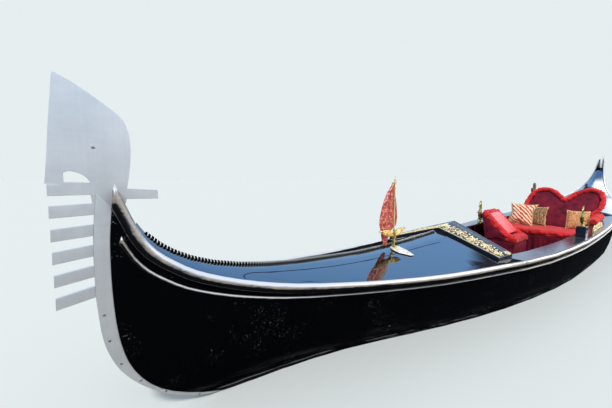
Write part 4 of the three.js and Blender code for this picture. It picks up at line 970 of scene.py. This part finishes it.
def swayed(mesh, *waves):
    """Moves each point in or out by soft noise: (height, size, stretch) for each wave."""
    mesh.normal_update()
    moves = []
    for vertex in mesh.verts:
        move = 0.0
        for rise, size, stretch in waves:
            spot = Vector([c * s / size for c, s in zip(vertex.co, stretch)])
            move += rise * noise.noise(spot)
        moves.append(vertex.normal * move)
    for vertex, move in zip(mesh.verts, moves):
        vertex.co += move
    return mesh


def cushioned(name, mesh, finish, slot, stands_for=(), crease=180.0):
    finished(name, mesh, finish, slot, stands_for=stands_for, even=False, crease=crease)


def skirted(name, node, voxel, top, drop, gather, depth, sunk, drift):
    """A velvet cover that falls in gathers from its top edge."""
    skirt = skinned(welded(node), voxel)
    skirt.normal_update()
    for vertex in skirt.verts:
        if abs(vertex.normal.z) < 0.6:
            along = vertex.co.y + vertex.co.x * 0.97
            fall = min(1.0, max(0.0, (top - vertex.co.z) / drop))
            wander = noise.noise(vertex.co * drift[0]) * drift[1]
            wave = math.sin(2.0 * math.pi * along / gather + wander)
            vertex.co += vertex.normal * (depth * wave - sunk) * fall
    cushioned(name, skirt, velvet, "redVelvet", [node], crease=40.0)


EVENLY = (1.0, 1.0, 1.0)
velvet = Finish("maroon_velvet", {
    "Sheen Weight": 0.55, "Sheen Roughness": 0.38, "Sheen Tint": (0.95, 0.16, 0.25),
    "Specular IOR Level": 0.2})
nap = velvet.cloud(11.0, 6.0, 0.65)
pile = velvet.cloud(420.0, 2.0, 0.5)
velvet.show(
    Base_Color=velvet.blend(velvet.between(nap + pile * 0.25, 0.38, 0.85),
        (0.060, 0.0025, 0.010), (0.23, 0.010, 0.032)),
    Roughness=nap * 0.25 + 0.6,
)
velvet.relief(pile * 0.5 + nap, 0.35, 0.003)
skirted("sofa_skirt", "sofa_base", 0.012, top=0.470, drop=0.16, gather=0.062, depth=0.0065, sunk=0.004,
        drift=(4.0, 1.6))

# The sofa's seat. One thick cushion in bright red plush, pressed up full, with a soft rolled front.
plush = Finish("red_plush", {
    "Sheen Weight": 0.75, "Sheen Roughness": 0.45, "Sheen Tint": (1.0, 0.32, 0.30),
    "Specular IOR Level": 0.3})
# Painted light and shade over the pile's own red: darker in broad soft patches (shade) and in the hollows between
# the raised tufts, brighter on them.
tufts = plush.cloud(85.0, 5.0, 0.7)
shade = plush.cloud(9.0, 5.0, 0.6)
plush.show(
    Base_Color=plush.blend(plush.between(tufts * 0.7 + shade * 0.5, 0.40, 0.78),
        (0.30, 0.004, 0.006), (0.86, 0.022, 0.030)),
    Roughness=tufts * 0.2 + 0.6,
)
plush.relief(tufts + plush.cloud(260.0, 3.0) * 0.6, 0.8, 0.006)
seat = skinned(eased(welded("sofa_seat"), 0.022, segments=4), 0.010)
seat = swayed(stuffed(seat, 0.012), (0.007, 0.085, EVENLY), (0.003, 0.030, EVENLY))
cushioned("sofa_cushion", seat, plush, "redPlush", ["sofa_seat"])


# The sofa's back. A heart-shaped padded back in maroon velvet, edged by a fat roll of red plush that is
# gathered over its filling, leaning aft over the seat.
def bezier(start, near, far, end, steps=18):
    """Points of one bend of an outline, without its first."""
    made = []
    for number in range(1, steps + 1):
        share = number / steps
        rest = 1.0 - share
        made.append(tuple(
            rest ** 3 * a + 3 * rest ** 2 * share * b + 3 * rest * share ** 2 * c + share ** 3 * d
            for a, b, c, d in zip(start, near, far, end)))
    return made


BACK_SEAT = Vector((-0.811, 0.0, 0.485))
BACK_LEAN = math.radians(21.0)
HEART = [(0.595, 0.02), (0.595, 0.17), (0.595, 0.33)]
HEART += bezier((0.595, 0.330), (0.705, 0.360), (0.765, 0.745), (0.530, 0.745))
HEART += bezier((0.530, 0.745), (0.370, 0.745), (0.285, 0.620), (0.225, 0.560))
HEART += bezier((0.225, 0.560), (0.165, 0.620), (0.085, 0.745), (-0.065, 0.745))
HEART += bezier((-0.065, 0.745), (-0.335, 0.745), (-0.340, 0.300), (-0.330, 0.020))
BACK_ROLL = 0.031
FOLD_STEPS = 6


def leaned(out, y, up):
    """A place on the sofa's back: out from its front face, y to port, up along its slope."""
    across, slope = math.cos(BACK_LEAN), math.sin(BACK_LEAN)
    return BACK_SEAT + Vector((out * across - up * slope, y, out * slope + up * across))


def inward(outline, inset):
    """The outline moved in by the inset, for an outline that runs anticlockwise."""
    moved = []
    for number, (y, up) in enumerate(outline):
        before = outline[max(0, number - 1)]
        after = outline[min(len(outline) - 1, number + 1)]
        run = Vector((after[0] - before[0], after[1] - before[1])).normalized()
        moved.append((y - run.y * inset, up + run.x * inset))
    return moved


def gathered(path, radius, lay, depth, voxel, lumps):
    """A roll of gathered cloth along a path: its folds ring it, one in every lay."""
    points, radii = [], []
    stops, length = walked(path, lay, FOLD_STEPS)
    for along, place, _ in stops:
        points.append(place)
        wobble = noise.noise(Vector((along * 9.0, radius * 31.0, 0.0)))
        end_share = min(1.0, (min(along, length - along) + 0.004) / (radius * 0.8))
        radii.append((radius + depth * math.sin(2.0 * math.pi * (along / lay + wobble))) * end_share ** 0.5)
    return swayed(skinned(bars([(points, radii)], 14), voxel), *lumps)


back = skinned(eased(welded("sofa_back"), 0.020, segments=4), 0.012)
back = stuffed(swayed(back, (-0.004, 0.4, EVENLY)), 0.010)
cushioned("sofa_back_velvet", back, velvet, "redVelvet", ["sofa_back"])
roll_path = [leaned(0.012, y, up) for y, up in inward(HEART, 0.020)]
roll = gathered(roll_path, BACK_ROLL, 0.030, 0.0035, 0.0075, [(0.010, 0.040, EVENLY), (0.004, 0.014, EVENLY)])
cushioned("sofa_back_roll", roll, plush, "redPlush")

front_path = [Vector((-0.198, y, 0.536)) for y in (-0.352, -0.2, 0.0, 0.2, 0.4, 0.572)]
roll = gathered(front_path, 0.034, 0.032, 0.004, 0.0075, [(0.012, 0.045, EVENLY), (0.005, 0.015, EVENLY)])
cushioned("sofa_front_roll", roll, plush, "redPlush")

# The side chair. A box in the same velvet skirt, a plush seat, and a low back against the starboard
# side whose satin panel is framed by the same fat plush roll.
UNDER_BACK = -0.085
CHAIR_BOX_TOP = 0.456
skirted("chair_skirt", "chair_base", 0.010, top=0.445, drop=0.14, gather=0.055, depth=0.0055, sunk=0.003,
        drift=(5.0, 1.5))
seat = welded("chair_seat")
for vertex in seat.verts:
    vertex.co.y = max(vertex.co.y, UNDER_BACK)
seat = skinned(eased(seat, 0.020, segments=4), 0.009)
seat = swayed(stuffed(seat, 0.012), (0.008, 0.060, EVENLY), (0.004, 0.022, EVENLY))
cushioned("chair_cushion", seat, plush, "redPlush", ["chair_seat"])
satin = Finish("red_satin", {
    "Sheen Weight": 0.2, "Sheen Roughness": 0.3, "Sheen Tint": (1.0, 0.40, 0.40), "IOR": 1.6})
satin_folds_and_sheen = satin.cloud(14.0, 5.0, 0.6)
satin_threads = satin.cloud(300.0, 2.0, 0.5, stretch=(1.0, 0.2, 0.2))
# Painted sheen: the satin is paler red on the rise of its folds and darker in their hollows.
satin.show(
    Base_Color=satin.blend(satin_folds_and_sheen, (0.50, 0.014, 0.024), (0.80, 0.065, 0.075)),
    Roughness=satin_folds_and_sheen * 0.15 + satin_threads * 0.1 + 0.34,
)
satin.relief(satin_folds_and_sheen + satin_threads * 0.3, 0.3, 0.004)
chair = welded("chair_back")
for vertex in chair.verts:
    if 0.5 < vertex.co.z < 0.535:
        vertex.co.z = CHAIR_BOX_TOP
chair = skinned(eased(chair, 0.016, segments=4), 0.008)
chair = stuffed(chair, 0.008)
cushioned("chair_back_velvet", chair, velvet, "redVelvet", ["chair_back"])
PANEL_RUN = ((-0.066, 0.560), (-0.112, 0.619), (-0.152, 0.668), (-0.234, 0.748), (-0.310, 0.832))
panel = bmesh.new()
rows = []
for y, z in PANEL_RUN:
    corners = [Vector((x, y + lift * 0.7, z + lift * 0.7)) for x, lift in (
        (0.530, 0.0), (0.530, 0.016), (0.354, 0.026), (0.178, 0.016), (0.178, 0.0))]
    rows.append([panel.verts.new(corner) for corner in corners])
for row, above in zip(rows, rows[1:]):
    for n in range(len(row)):
        panel.faces.new((row[n], row[(n + 1) % len(row)], above[(n + 1) % len(row)], above[n]))
panel.faces.new(rows[0][::-1])
panel.faces.new(rows[-1])
bmesh.ops.recalc_face_normals(panel, faces=panel.faces)
cushioned("chair_back_satin", skinned(panel, 0.007), satin, "redPlush")
CHAIR_FORE, CHAIR_AFT = 0.552, 0.156
CHAIR_EDGE = (
    (0.052, 0.492), (0.010, 0.515), (-0.052, 0.548), (-0.105, 0.588), (-0.165, 0.642), (-0.235, 0.716),
    (-0.300, 0.788), (-0.338, 0.826))
roll_path = [Vector((CHAIR_FORE, y, z)) for y, z in CHAIR_EDGE]
roll_path += [Vector((CHAIR_FORE - (CHAIR_FORE - CHAIR_AFT) * share, -0.354, 0.838))
              for share in (0.1, 0.3, 0.5, 0.7, 0.9)]
roll_path += [Vector((CHAIR_AFT, y, z)) for y, z in reversed(CHAIR_EDGE)]
roll = gathered(roll_path, 0.042, 0.034, 0.004, 0.0075, [(0.012, 0.045, EVENLY), (0.005, 0.015, EVENLY)])
cushioned("chair_back_roll", roll, plush, "redPlush")

# Loose pillows. Two square and one small, sewn from two faces of figured cloth and filled soft, so
# that the sides pull in between the corners; the striped one is fringed with gold thread all round.
PILLOW_CELLS = 36
PILLOW_LEAN = 24.0


def pillow(node, width, tall, thick, twist, cap=0.05):
    """A filled pillow leaning on the sofa's back, in the place of its CAD node. Returns mesh and rim."""
    mesh = bmesh.new()
    mesh.loops.layers.uv.new("weave")
    bmesh.ops.create_grid(mesh, x_segments=PILLOW_CELLS, y_segments=PILLOW_CELLS, size=0.5, calc_uvs=True)
    copy = bmesh.ops.duplicate(mesh, geom=mesh.verts[:] + mesh.edges[:] + mesh.faces[:])["geom"]
    bmesh.ops.reverse_faces(mesh, faces=[g for g in copy if isinstance(g, bmesh.types.BMFace)])
    under = {g for g in copy if isinstance(g, bmesh.types.BMVert)}
    for vertex in mesh.verts:
        a, b = vertex.co.x * 2.0, vertex.co.y * 2.0
        dome = (max(0.0, 1.0 - a ** 4) * max(0.0, 1.0 - b ** 4)) ** 0.55
        vertex.co.x *= width * (1.0 - 0.075 * (1.0 - b * b) * abs(a))
        vertex.co.y *= tall * (1.0 - 0.075 * (1.0 - a * a) * abs(b))
        vertex.co.z = dome * thick * 0.5 * (-1.0 if vertex in under else 1.0)
        vertex.co.z += 0.010 * noise.noise(Vector((a * 2.1, b * 2.1, width * 9.0))) * dome
    bmesh.ops.remove_doubles(mesh, verts=mesh.verts, dist=SAME_PLACE)
    mesh.verts.ensure_lookup_table()
    mesh = stuffed(mesh, cap, pressure=3.0)
    edge = [v for v in mesh.verts if any(
        (f.normal.z > 0.0) != (v.link_faces[0].normal.z > 0.0) for f in v.link_faces)]
    spread = [max(abs(v.co[axis]) for v in mesh.verts) for axis in range(3)]
    for vertex in mesh.verts:
        for axis, half in enumerate((width / 2, tall / 2, thick / 2)):
            vertex.co[axis] *= half / spread[axis]
    outline = sorted((v.co.copy() for v in edge), key=lambda c: math.atan2(c.y / tall, c.x / width))
    low, high = (Vector(corner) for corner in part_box(node))
    upright = Matrix(((0.0, 0.0, 1.0), (1.0, 0.0, 0.0), (0.0, 1.0, 0.0))).to_4x4()
    leaning = Matrix.Rotation(math.radians(-PILLOW_LEAN), 4, "Y") @ upright
    set_down = Matrix.Rotation(math.radians(twist), 4, "Z") @ leaning
    middle = (low + high) / 2.0
    lowest = min((set_down @ v.co).z for v in mesh.verts)
    place = Matrix.Translation((middle.x, middle.y, low.z + 0.002 - lowest)) @ set_down
    bmesh.ops.transform(mesh, matrix=place, verts=mesh.verts)
    return mesh, [place @ c for c in outline]


def figured(name, ground, stripe, thread, slant, count, figure_limits):
    """Cloth with slanting bands and a small woven figure over them, following the pillow's faces."""
    cloth = Finish(name, {"Sheen Weight": 0.25, "Sheen Roughness": 0.4, "Specular IOR Level": 0.3})
    face = cloth.node("ShaderNodeSeparateXYZ", {}, {0: cloth.spot(coordinates="UV")}, output="X")
    up_face = cloth.node("ShaderNodeSeparateXYZ", {}, {0: cloth.spot(coordinates="UV")}, output="Y")
    drift = cloth.cloud(7.0, 3.0, 0.6, coordinates="UV")
    wave = cloth.node("ShaderNodeMath", {"operation": "SINE"}, {
        0: (face * slant + up_face + drift * 0.16) * (2.0 * math.pi * count)})
    curls = cloth.cloud(7.5, 3.0, 0.55, coordinates="UV")
    rings = cloth.node("ShaderNodeMath", {"operation": "SINE"}, {0: curls * 46.0})
    bands = cloth.blend(cloth.between(wave, -0.25, 0.25), ground, stripe)
    weave = cloth.cloud(190.0, 2.0, 0.5, coordinates="UV")
    cloth.show(
        Base_Color=cloth.blend(cloth.between(rings + weave * 0.4, *figure_limits), bands, thread),
        Roughness=weave * 0.3 + 0.5,
    )
    cloth.relief(rings * 0.4 + weave * 0.5, 0.4, 0.002)
    return cloth


striped_cloth = figured(
    "striped_cloth", (0.55, 0.010, 0.020), (0.86, 0.74, 0.52), (0.66, 0.36, 0.09), 0.85, 6.5, (0.95, 1.20))
brocade_cloth = figured(
    "brocade_cloth", (0.040, 0.012, 0.010), (0.15, 0.025, 0.022), (0.56, 0.38, 0.15), -0.6, 3.0, (0.50, 0.92))
port_cloth = figured(
    "port_cloth", (0.45, 0.012, 0.018), (0.36, 0.10, 0.04), (0.84, 0.60, 0.24), 0.5, 3.5, (0.35, 0.75))
gold_thread = Finish("gold_thread", {"Sheen Weight": 0.3, "Metallic": 0.1})
gold_thread.show(
    Base_Color=gold_thread.blend(gold_thread.cloud(120.0, 3.0), (0.42, 0.22, 0.04), (0.90, 0.70, 0.30)),
    Roughness=gold_thread.cloud(60.0) * 0.3 + 0.4,
)
for node, size, twist, cloth in (
    ("pillow_striped", (0.380, 0.380, 0.130), -6.0, striped_cloth),
    ("pillow_brocade", (0.330, 0.330, 0.110), 5.0, brocade_cloth),
    ("pillow_port", (0.250, 0.300, 0.110), 8.0, port_cloth),
):
    shape, rim_line = pillow(node, *size, twist)
    cushioned(f"{node}_filled", shape, cloth, "brocade", [node])
    middle = sum(rim_line, Vector()) / len(rim_line)
    tassels = []
    for number, root in enumerate(rim_line + rim_line):
        root = root.lerp(rim_line[(number + 1) % len(rim_line)], 0.5 if number >= len(rim_line) else 0.0)
        out = (root - middle).normalized()
        reach = 0.016 + 0.006 * noise.noise(root * 90.0)
        sway = Vector((noise.noise(root * 70.0), noise.noise(root * 70.0 + Vector((9, 0, 0))), -0.25)) * 0.006
        thread = [root - out * 0.003, root + out * reach * 0.5 + sway * 0.4, root + out * reach + sway]
        tassels.append((thread, [0.0018, 0.0020, 0.0024]))
    finished(f"{node}_fringe", bars(tassels, 4), gold_thread, "brocade", even=False)

# The armrest. A bolster of the same red plush lies on the port side deck beside the sofa, tied in
# three full lobes.
deck_skin = BVHTree.FromBMesh(welded("side_deck_port"))
BOLSTER_RADIUS = 0.052
BOLSTER_STATIONS = 48
BOLSTER_FORE = -0.36
BOLSTER_LONG = 0.62
BOLSTER_LOBES = 3.0
DECK_HOLD = 0.018
bolster_points, bolster_radii = [], []
for number in range(BOLSTER_STATIONS + 1):
    share = number / BOLSTER_STATIONS
    x, y, under = BOLSTER_FORE - BOLSTER_LONG * share, 0.50, None
    while under is None and y < 0.80:
        y += 0.004
        under = deck_skin.ray_cast(Vector((x, y + DECK_HOLD, 2.0)), Vector((0.0, 0.0, -1.0)))[0]
    y += 2.0 * DECK_HOLD
    lobe = 0.62 + 0.38 * abs(math.sin(math.pi * (BOLSTER_LOBES * share))) ** 0.55
    bolster_points.append(Vector((x, y, under.z + BOLSTER_RADIUS * 0.93)))
    bolster_radii.append(BOLSTER_RADIUS * lobe)
bolster = skinned(bars([(bolster_points, bolster_radii)], 16), 0.008)
bolster = swayed(bolster, (0.014, 0.050, EVENLY), (0.006, 0.017, EVENLY))
cushioned("armrest_bolster", bolster, plush, "redPlush")


# The sea horses. One cast and polished brass figure on each side deck, rearing over a turned foot with
# its tail curled under; the port one stands on a black block.
def turned(profile, steps=24):
    """A lathe-turned solid about the Z axis, from (radius, height) pairs."""
    mesh = bmesh.new()
    verts = [mesh.verts.new((radius, 0.0, tall)) for radius, tall in profile]
    edges = [mesh.edges.new(pair) for pair in zip(verts, verts[1:])]
    bmesh.ops.spin(mesh, geom=verts + edges, cent=(0.0, 0.0, 0.0), axis=(0.0, 0.0, 1.0), dvec=(0.0, 0.0, 0.0),
                   angle=2.0 * math.pi, steps=steps, use_merge=True, use_duplicate=False)
    bmesh.ops.remove_doubles(mesh, verts=mesh.verts, dist=SAME_PLACE)
    bmesh.ops.recalc_face_normals(mesh, faces=mesh.faces)
    return mesh


def added(mesh, other):
    """Puts a second mesh into the first."""
    data = bpy.data.meshes.new("added")
    other.to_mesh(data)
    other.free()
    mesh.from_mesh(data)
    bpy.data.meshes.remove(data)
    return mesh


def fitted(mesh, node):
    """Scales a mesh so that it fills the box of its CAD node."""
    low, high = (Vector(corner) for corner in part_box(node))
    least = Vector([min(v.co[axis] for v in mesh.verts) for axis in range(3)])
    most = Vector([max(v.co[axis] for v in mesh.verts) for axis in range(3)])
    for vertex in mesh.verts:
        for axis in range(3):
            share = (vertex.co[axis] - least[axis]) / (most[axis] - least[axis])
            vertex.co[axis] = low[axis] + (high[axis] - low[axis]) * share
    return mesh


HORSE_FOOT = ((0, 0), (42, 0), (43, 5), (38, 9), (40, 13), (30, 18), (17, 22), (12, 34), (12, 52), (0, 54))
HORSE_BODY = (
    ((-40, 0, 98, 3), (-28, 0, 112, 5), (-44, 0, 126, 7), (-66, 0, 106, 9),
     (-58, 0, 70, 12), (-26, 0, 46, 17),
     (8, 0, 58, 22), (24, 0, 96, 26), (26, 0, 140, 27), (14, 0, 186, 21), (4, 0, 226, 17), (8, 0, 262, 15),
     (26, 0, 282, 12)),
    ((8, 0, 268, 14), (32, 0, 276, 15), (54, 0, 258, 11), (72, 0, 236, 9), (76, 0, 228, 6)),
    ((-66, 0, 106, 8), (-82, 0, 122, 8), (-86, 0, 144, 2)),
    ((-62, 0, 88, 8), (-86, 0, 92, 7), (-98, 0, 108, 2)),
)
HORSE_PAIRS = (
    ((14, 7, 280, 5), (8, 9, 302, 5), (10, 8, 320, 1)),
    ((36, 12, 150, 11), (62, 18, 178, 8), (84, 19, 162, 6), (86, 19, 140, 8)),
    ((0, 20, 104, 9), (-16, 36, 124, 7), (-30, 42, 150, 2)),
    ((4, 20, 90, 9), (-12, 38, 96, 7), (-30, 44, 110, 2)),
    ((12, 16, 66, 9), (34, 28, 52, 7), (52, 30, 34, 3)),
)
MANE_LOCK = ((6, -4, 6), (-10, 8, 6), (-24, 4, 4), (-28, -8, 1))
MANE_ROOTS = ((0, 294), (-8, 272), (-13, 248), (-16, 224), (-13, 200), (-8, 176), (0, 154))


def softened(mesh, rounds=1):
    """Takes the grain of the skin off a carved or cast shape."""
    for _ in range(rounds):
        bmesh.ops.smooth_vert(
            mesh, verts=mesh.verts, factor=0.5, use_axis_x=True, use_axis_y=True, use_axis_z=True)


def sea_horse(node):
    strokes = [[(x, y, z, r) for x, y, z, r in stroke] for stroke in HORSE_BODY]
    for stroke in HORSE_PAIRS:
        strokes += [[(x, side * y, z, r) for x, y, z, r in stroke] for side in (1, -1)]
    for x, z in MANE_ROOTS:
        strokes.append([(x + over, 0, z + up, r) for over, up, r in MANE_LOCK])
    shape = turned(HORSE_FOOT)
    added(shape, bars([([s[:3] for s in stroke], [s[3] for s in stroke]) for stroke in strokes], 12, "NURBS"))
    fitted(shape, node)
    shape = skinned(shape, 0.0022)
    softened(shape)
    finished(f"{node}_cast", fitted(shape, node), brass, "brass", stands_for=[node], crease=180.0, even=False)


for side in ("starboard", "port"):
    sea_horse(f"sea_horse_{side}")
finished("figure_plinth", eased(welded("figure_block"), 0.006, segments=3), board_black, "blackLacquer",
         stands_for=["figure_block"])

# The deck scroll. A pierced carving of running scrolls along the inner edge of the port side deck,
# gilded like the board, standing on its own foot rail.
scroll_low, scroll_high = (Vector(corner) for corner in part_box("deck_scroll"))
scroll_skin = BVHTree.FromBMesh(welded("deck_scroll"))
SCROLL_MIDDLE_Y = (scroll_low.y + scroll_high.y) / 2.0
scroll_long = scroll_high.x - scroll_low.x


def on_scroll(along, height):
    """A place in the carving: along it from aft (0) to fore (1), and up from the deck in metres."""
    x = scroll_low.x + scroll_long * min(0.992, max(0.008, along))
    under = scroll_skin.ray_cast(Vector((x, SCROLL_MIDDLE_Y, -1.0)), Vector((0.0, 0.0, 1.0)))[0]
    return Vector((x, SCROLL_MIDDLE_Y, under.z + height))


strokes = [([on_scroll(step / 20, 0.010) for step in range(21)], [0.0085] * 21)]
for middle, way in ((0.13, 1), (0.37, -1), (0.63, 1), (0.87, -1)):
    points, radii = [], []
    for step in range(25):
        angle = way * (-1.5 + 9.4 * step / 24)
        reach = 0.030 * (1.0 - 0.80 * step / 24)
        across = middle + reach * math.cos(angle) / scroll_long
        points.append(on_scroll(across, 0.042 + reach * math.sin(angle)))
        radii.append(0.0078 * (1.0 - 0.45 * step / 24))
    strokes.append((points, radii))
for root, tip, rise in (
        (0.25, 0.18, 0.066), (0.25, 0.32, 0.070), (0.50, 0.44, 0.074), (0.50, 0.50, 0.080),
        (0.50, 0.56, 0.074), (0.75, 0.68, 0.070), (0.75, 0.82, 0.066), (0.02, 0.03, 0.050),
        (0.98, 0.97, 0.050)):
    points = [on_scroll(root + (tip - root) * share ** 1.5, 0.012 + (rise - 0.012) * share)
              for share in (0.0, 0.25, 0.5, 0.75, 1.0)]
    strokes.append((points, [0.004, 0.008, 0.009, 0.007, 0.003]))
finished("deck_scroll_carving", bars(strokes, 8), gilded, "gilding", stands_for=["deck_scroll"], even=False)

# The pennant. A curved plate of silvered metal with gilt flecks sits astride the port slope of the
# fore deck; on it a brass collar with two feathered wings grips a thin staff with a spear head.
flecked = Finish("silver_gilt", {"Metallic": 0.1})
flecks = flecked.cloud(38.0, 4.0, 0.6) + flecked.between(flecked.axis("Y"), 0.16, 0.05) * 0.12
flecks = flecked.between(flecks, 0.52, 0.60)
flecked.show(
    Base_Color=flecked.blend(flecks, (0.82, 0.81, 0.76), (0.72, 0.50, 0.16)),
    Roughness=flecks * 0.1 + 0.24,
)
flecked.relief(flecked.cloud(60.0, 3.0), 0.3, 0.002)
finished("pennant_plate", eased(welded("flag_plate"), 0.0015), flecked, "iron", stands_for=["flag_plate"])
COLUMN = (
    (0, 0), (17, 0), (18, 5), (10, 11), (8, 28), (13, 38), (13, 46), (8, 54), (8, 74), (14, 82), (15, 96),
    (13, 110), (8, 122), (7, 136), (0, 137))
shape = turned(COLUMN)
strokes = []
FEATHERS = 6
for way, reach in ((1, 189), (-1, 170)):
    for number in range(FEATHERS):
        long = reach * (1.0 - 0.13 * number)
        climb = 0.13 - 0.050 * number
        strokes.append((
            [(way * 8, 0, 112 - 6 * number), (way * long * 0.35, 0, 122 - 5 * number + long * climb * 0.5),
             (way * long * 0.75, 0, 118 - 4 * number + long * climb * 0.8),
             (way * long, 0, 110 - 4 * number + long * climb)],
            [7.0, 11.0, 9.0, 3.0]))
    hook = ((10, 66), (24, 70), (28, 86), (18, 96), (10, 88))
    strokes.append(([(way * x, 0, z) for x, z in hook], [4, 5, 5, 4, 3]))
added(shape, bars(strokes, 8, "NURBS"))
finished("pennant_collar", fitted(shape, "flag_collar"), brass, "brass", stands_for=["flag_collar"],
         even=False)
staff_low, staff_high = (Vector(corner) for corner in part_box("flag_staff"))
staff_foot = (staff_low + staff_high) / 2.0
staff_foot.z = staff_low.z
staff_tall = staff_high.z - staff_low.z
shape = turned((
    (0.0, 0.0), (0.0045, 0.0), (0.0045, staff_tall - 0.088), (0.0085, staff_tall - 0.082),
    (0.0045, staff_tall - 0.075), (0.0055, staff_tall - 0.066), (0.0100, staff_tall - 0.052),
    (0.0075, staff_tall - 0.026), (0.0, staff_tall)), 16)
bmesh.ops.translate(shape, verts=shape.verts, vec=staff_foot)
finished("pennant_staff", shape, gilded, "gilding", stands_for=["flag_staff"])

# Its silk. One leaf of crimson silk figured in gold, tied to the staff by its straight edge and
# hanging down ahead of it in limp folds to a narrow tail.
silk = Finish("figured_silk", {"Sheen Weight": 0.3, "Sheen Roughness": 0.3, "IOR": 1.55})
figure = silk.cloud(19.0, 3.0, 0.55, stretch=(1.0, 0.4, 0.75))
figure_lines = silk.node("ShaderNodeMath", {"operation": "SINE"}, {0: figure * 44.0})
silk_weave = silk.cloud(500.0, 2.0, 0.5)
silk.show(
    Base_Color=silk.blend(
        silk.between(figure_lines, 0.72, 0.98),
        silk.blend(figure, (0.24, 0.012, 0.020), (0.60, 0.060, 0.070)),
        (0.80, 0.46, 0.18)),
    Roughness=figure * 0.2 + 0.32,
)
silk.relief(figure_lines * 0.4 + silk_weave * 0.2, 0.3, 0.001)
silk_seat = Vector((staff_foot.x, staff_foot.y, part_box("flag_silk")[0][2] - 0.008))
SILK_THICK = 0.0008
TIE_HEIGHTS = (0.270, 0.345, 0.420, 0.500)
TIE_STEPS = 12
TIE_REACH = 0.0058
TIE_RADIUS = 0.0012
SILK_CUT = (
    # share down, edge by the staff (out, up), outer edge (out, up)
    (0.00, (0.000, 0.518), (0.014, 0.516)), (0.16, (-0.012, 0.440), (0.070, 0.448)),
    (0.36, (-0.036, 0.345), (0.122, 0.352)), (0.56, (-0.050, 0.230), (0.152, 0.240)),
    (0.64, (-0.040, 0.170), (0.156, 0.196)), (0.73, (0.030, 0.130), (0.146, 0.150)),
    (0.86, (0.062, 0.076), (0.132, 0.068)), (1.00, (0.082, 0.014), (0.100, 0.010)),
)


def along_cut(share, edge):
    for before, after in zip(SILK_CUT, SILK_CUT[1:]):
        if share <= after[0]:
            part = (share - before[0]) / (after[0] - before[0])
            part = part * part * (3.0 - 2.0 * part)
            return Vector(before[edge]).lerp(Vector(after[edge]), part)
    return Vector(SILK_CUT[-1][edge])


shape = bmesh.new()
bmesh.ops.create_grid(shape, x_segments=30, y_segments=90, size=0.5)
for vertex in shape.verts:
    out, down = vertex.co.x + 0.5, 0.5 - vertex.co.y
    place = along_cut(down, 1).lerp(along_cut(down, 2), out)
    loose = min(1.0, max(0.0, out * 1.6 - 0.25))
    fold = 0.012 * math.sin(2.0 * math.pi * (2.3 * out + 0.5 * down) + 1.2) * loose
    fold += 0.007 * noise.noise(Vector((out * 2.2, down * 5.0, 3.0))) * loose
    vertex.co = silk_seat + Vector((place.x, -0.0095 - 0.003 * out + fold, place.y))
silk_piece = finished("pennant_silk", shape, silk, "crimsonSilk", stands_for=["flag_silk"], even=False,
                      crease=180.0)
leaf = silk_piece.modifiers.new("cloth_thickness", "SOLIDIFY")
leaf.thickness = SILK_THICK
ties = []
for up in TIE_HEIGHTS:
    turns = [2.0 * math.pi * step / TIE_STEPS for step in range(TIE_STEPS)]
    ring = [silk_seat + Vector((TIE_REACH * math.cos(a), TIE_REACH * math.sin(a), up)) for a in turns]
    ties.append((ring, [TIE_RADIUS] * TIE_STEPS))
finished("silk_ties", bars(ties, 6, closed=True), gold_thread, "gilding", even=False)

# The rower's station. On the after deck a worn slatted board with a wedge gives the feet their hold,
# and on the starboard rail a walnut block takes the carved walnut oarlock.
trodden_wood = Finish("worn_boards", {"IOR": 1.45})
wood_rings = trodden_wood.cloud(34.0, 7.0, 0.7, stretch=(0.08, 1.0, 1.0))
wood_dirt = trodden_wood.cloud(6.0, 6.0, 0.65)
slats = seam(trodden_wood, "Y", 0.09, 0.025)
trodden_wood.show(
    Base_Color=trodden_wood.blend(
        (wood_rings * 0.7 + wood_dirt * 0.5) * (1.0 - slats), (0.050, 0.034, 0.022), (0.42, 0.31, 0.20)),
    Roughness=wood_rings * 0.25 + 0.5,
)
trodden_wood.relief(wood_rings - slats * 2.0, 0.6, 0.003)
walnut = Finish("oiled_walnut", {"IOR": 1.5})
walnut_rings = walnut.cloud(28.0, 7.0, 0.68, stretch=(1.0, 1.0, 0.10))
walnut.show(
    Base_Color=walnut.blend(walnut.between(walnut_rings, 0.30, 0.72),
        (0.060, 0.024, 0.010), (0.30, 0.155, 0.070)),
    Roughness=walnut_rings * 0.25 + 0.20,
)
walnut.relief(walnut_rings, 0.35, 0.0015)
for name, node, wood, slot in (
    ("foot_boards", "footboard", trodden_wood, "wornWood"),
    ("foot_block", "foot_wedge", trodden_wood, "wornWood"),
    ("oarlock_step", "oarlock_block", walnut, "walnut"),
):
    finished(name, eased(welded(node), 0.004), wood, slot, stands_for=[node])
shape = skinned(welded("oarlock"), 0.0035)
softened(shape, rounds=6)
finished("oarlock_carved", fitted(shape, "oarlock"), walnut, "walnut", stands_for=["oarlock"], crease=180.0,
         even=False)

low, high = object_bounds()
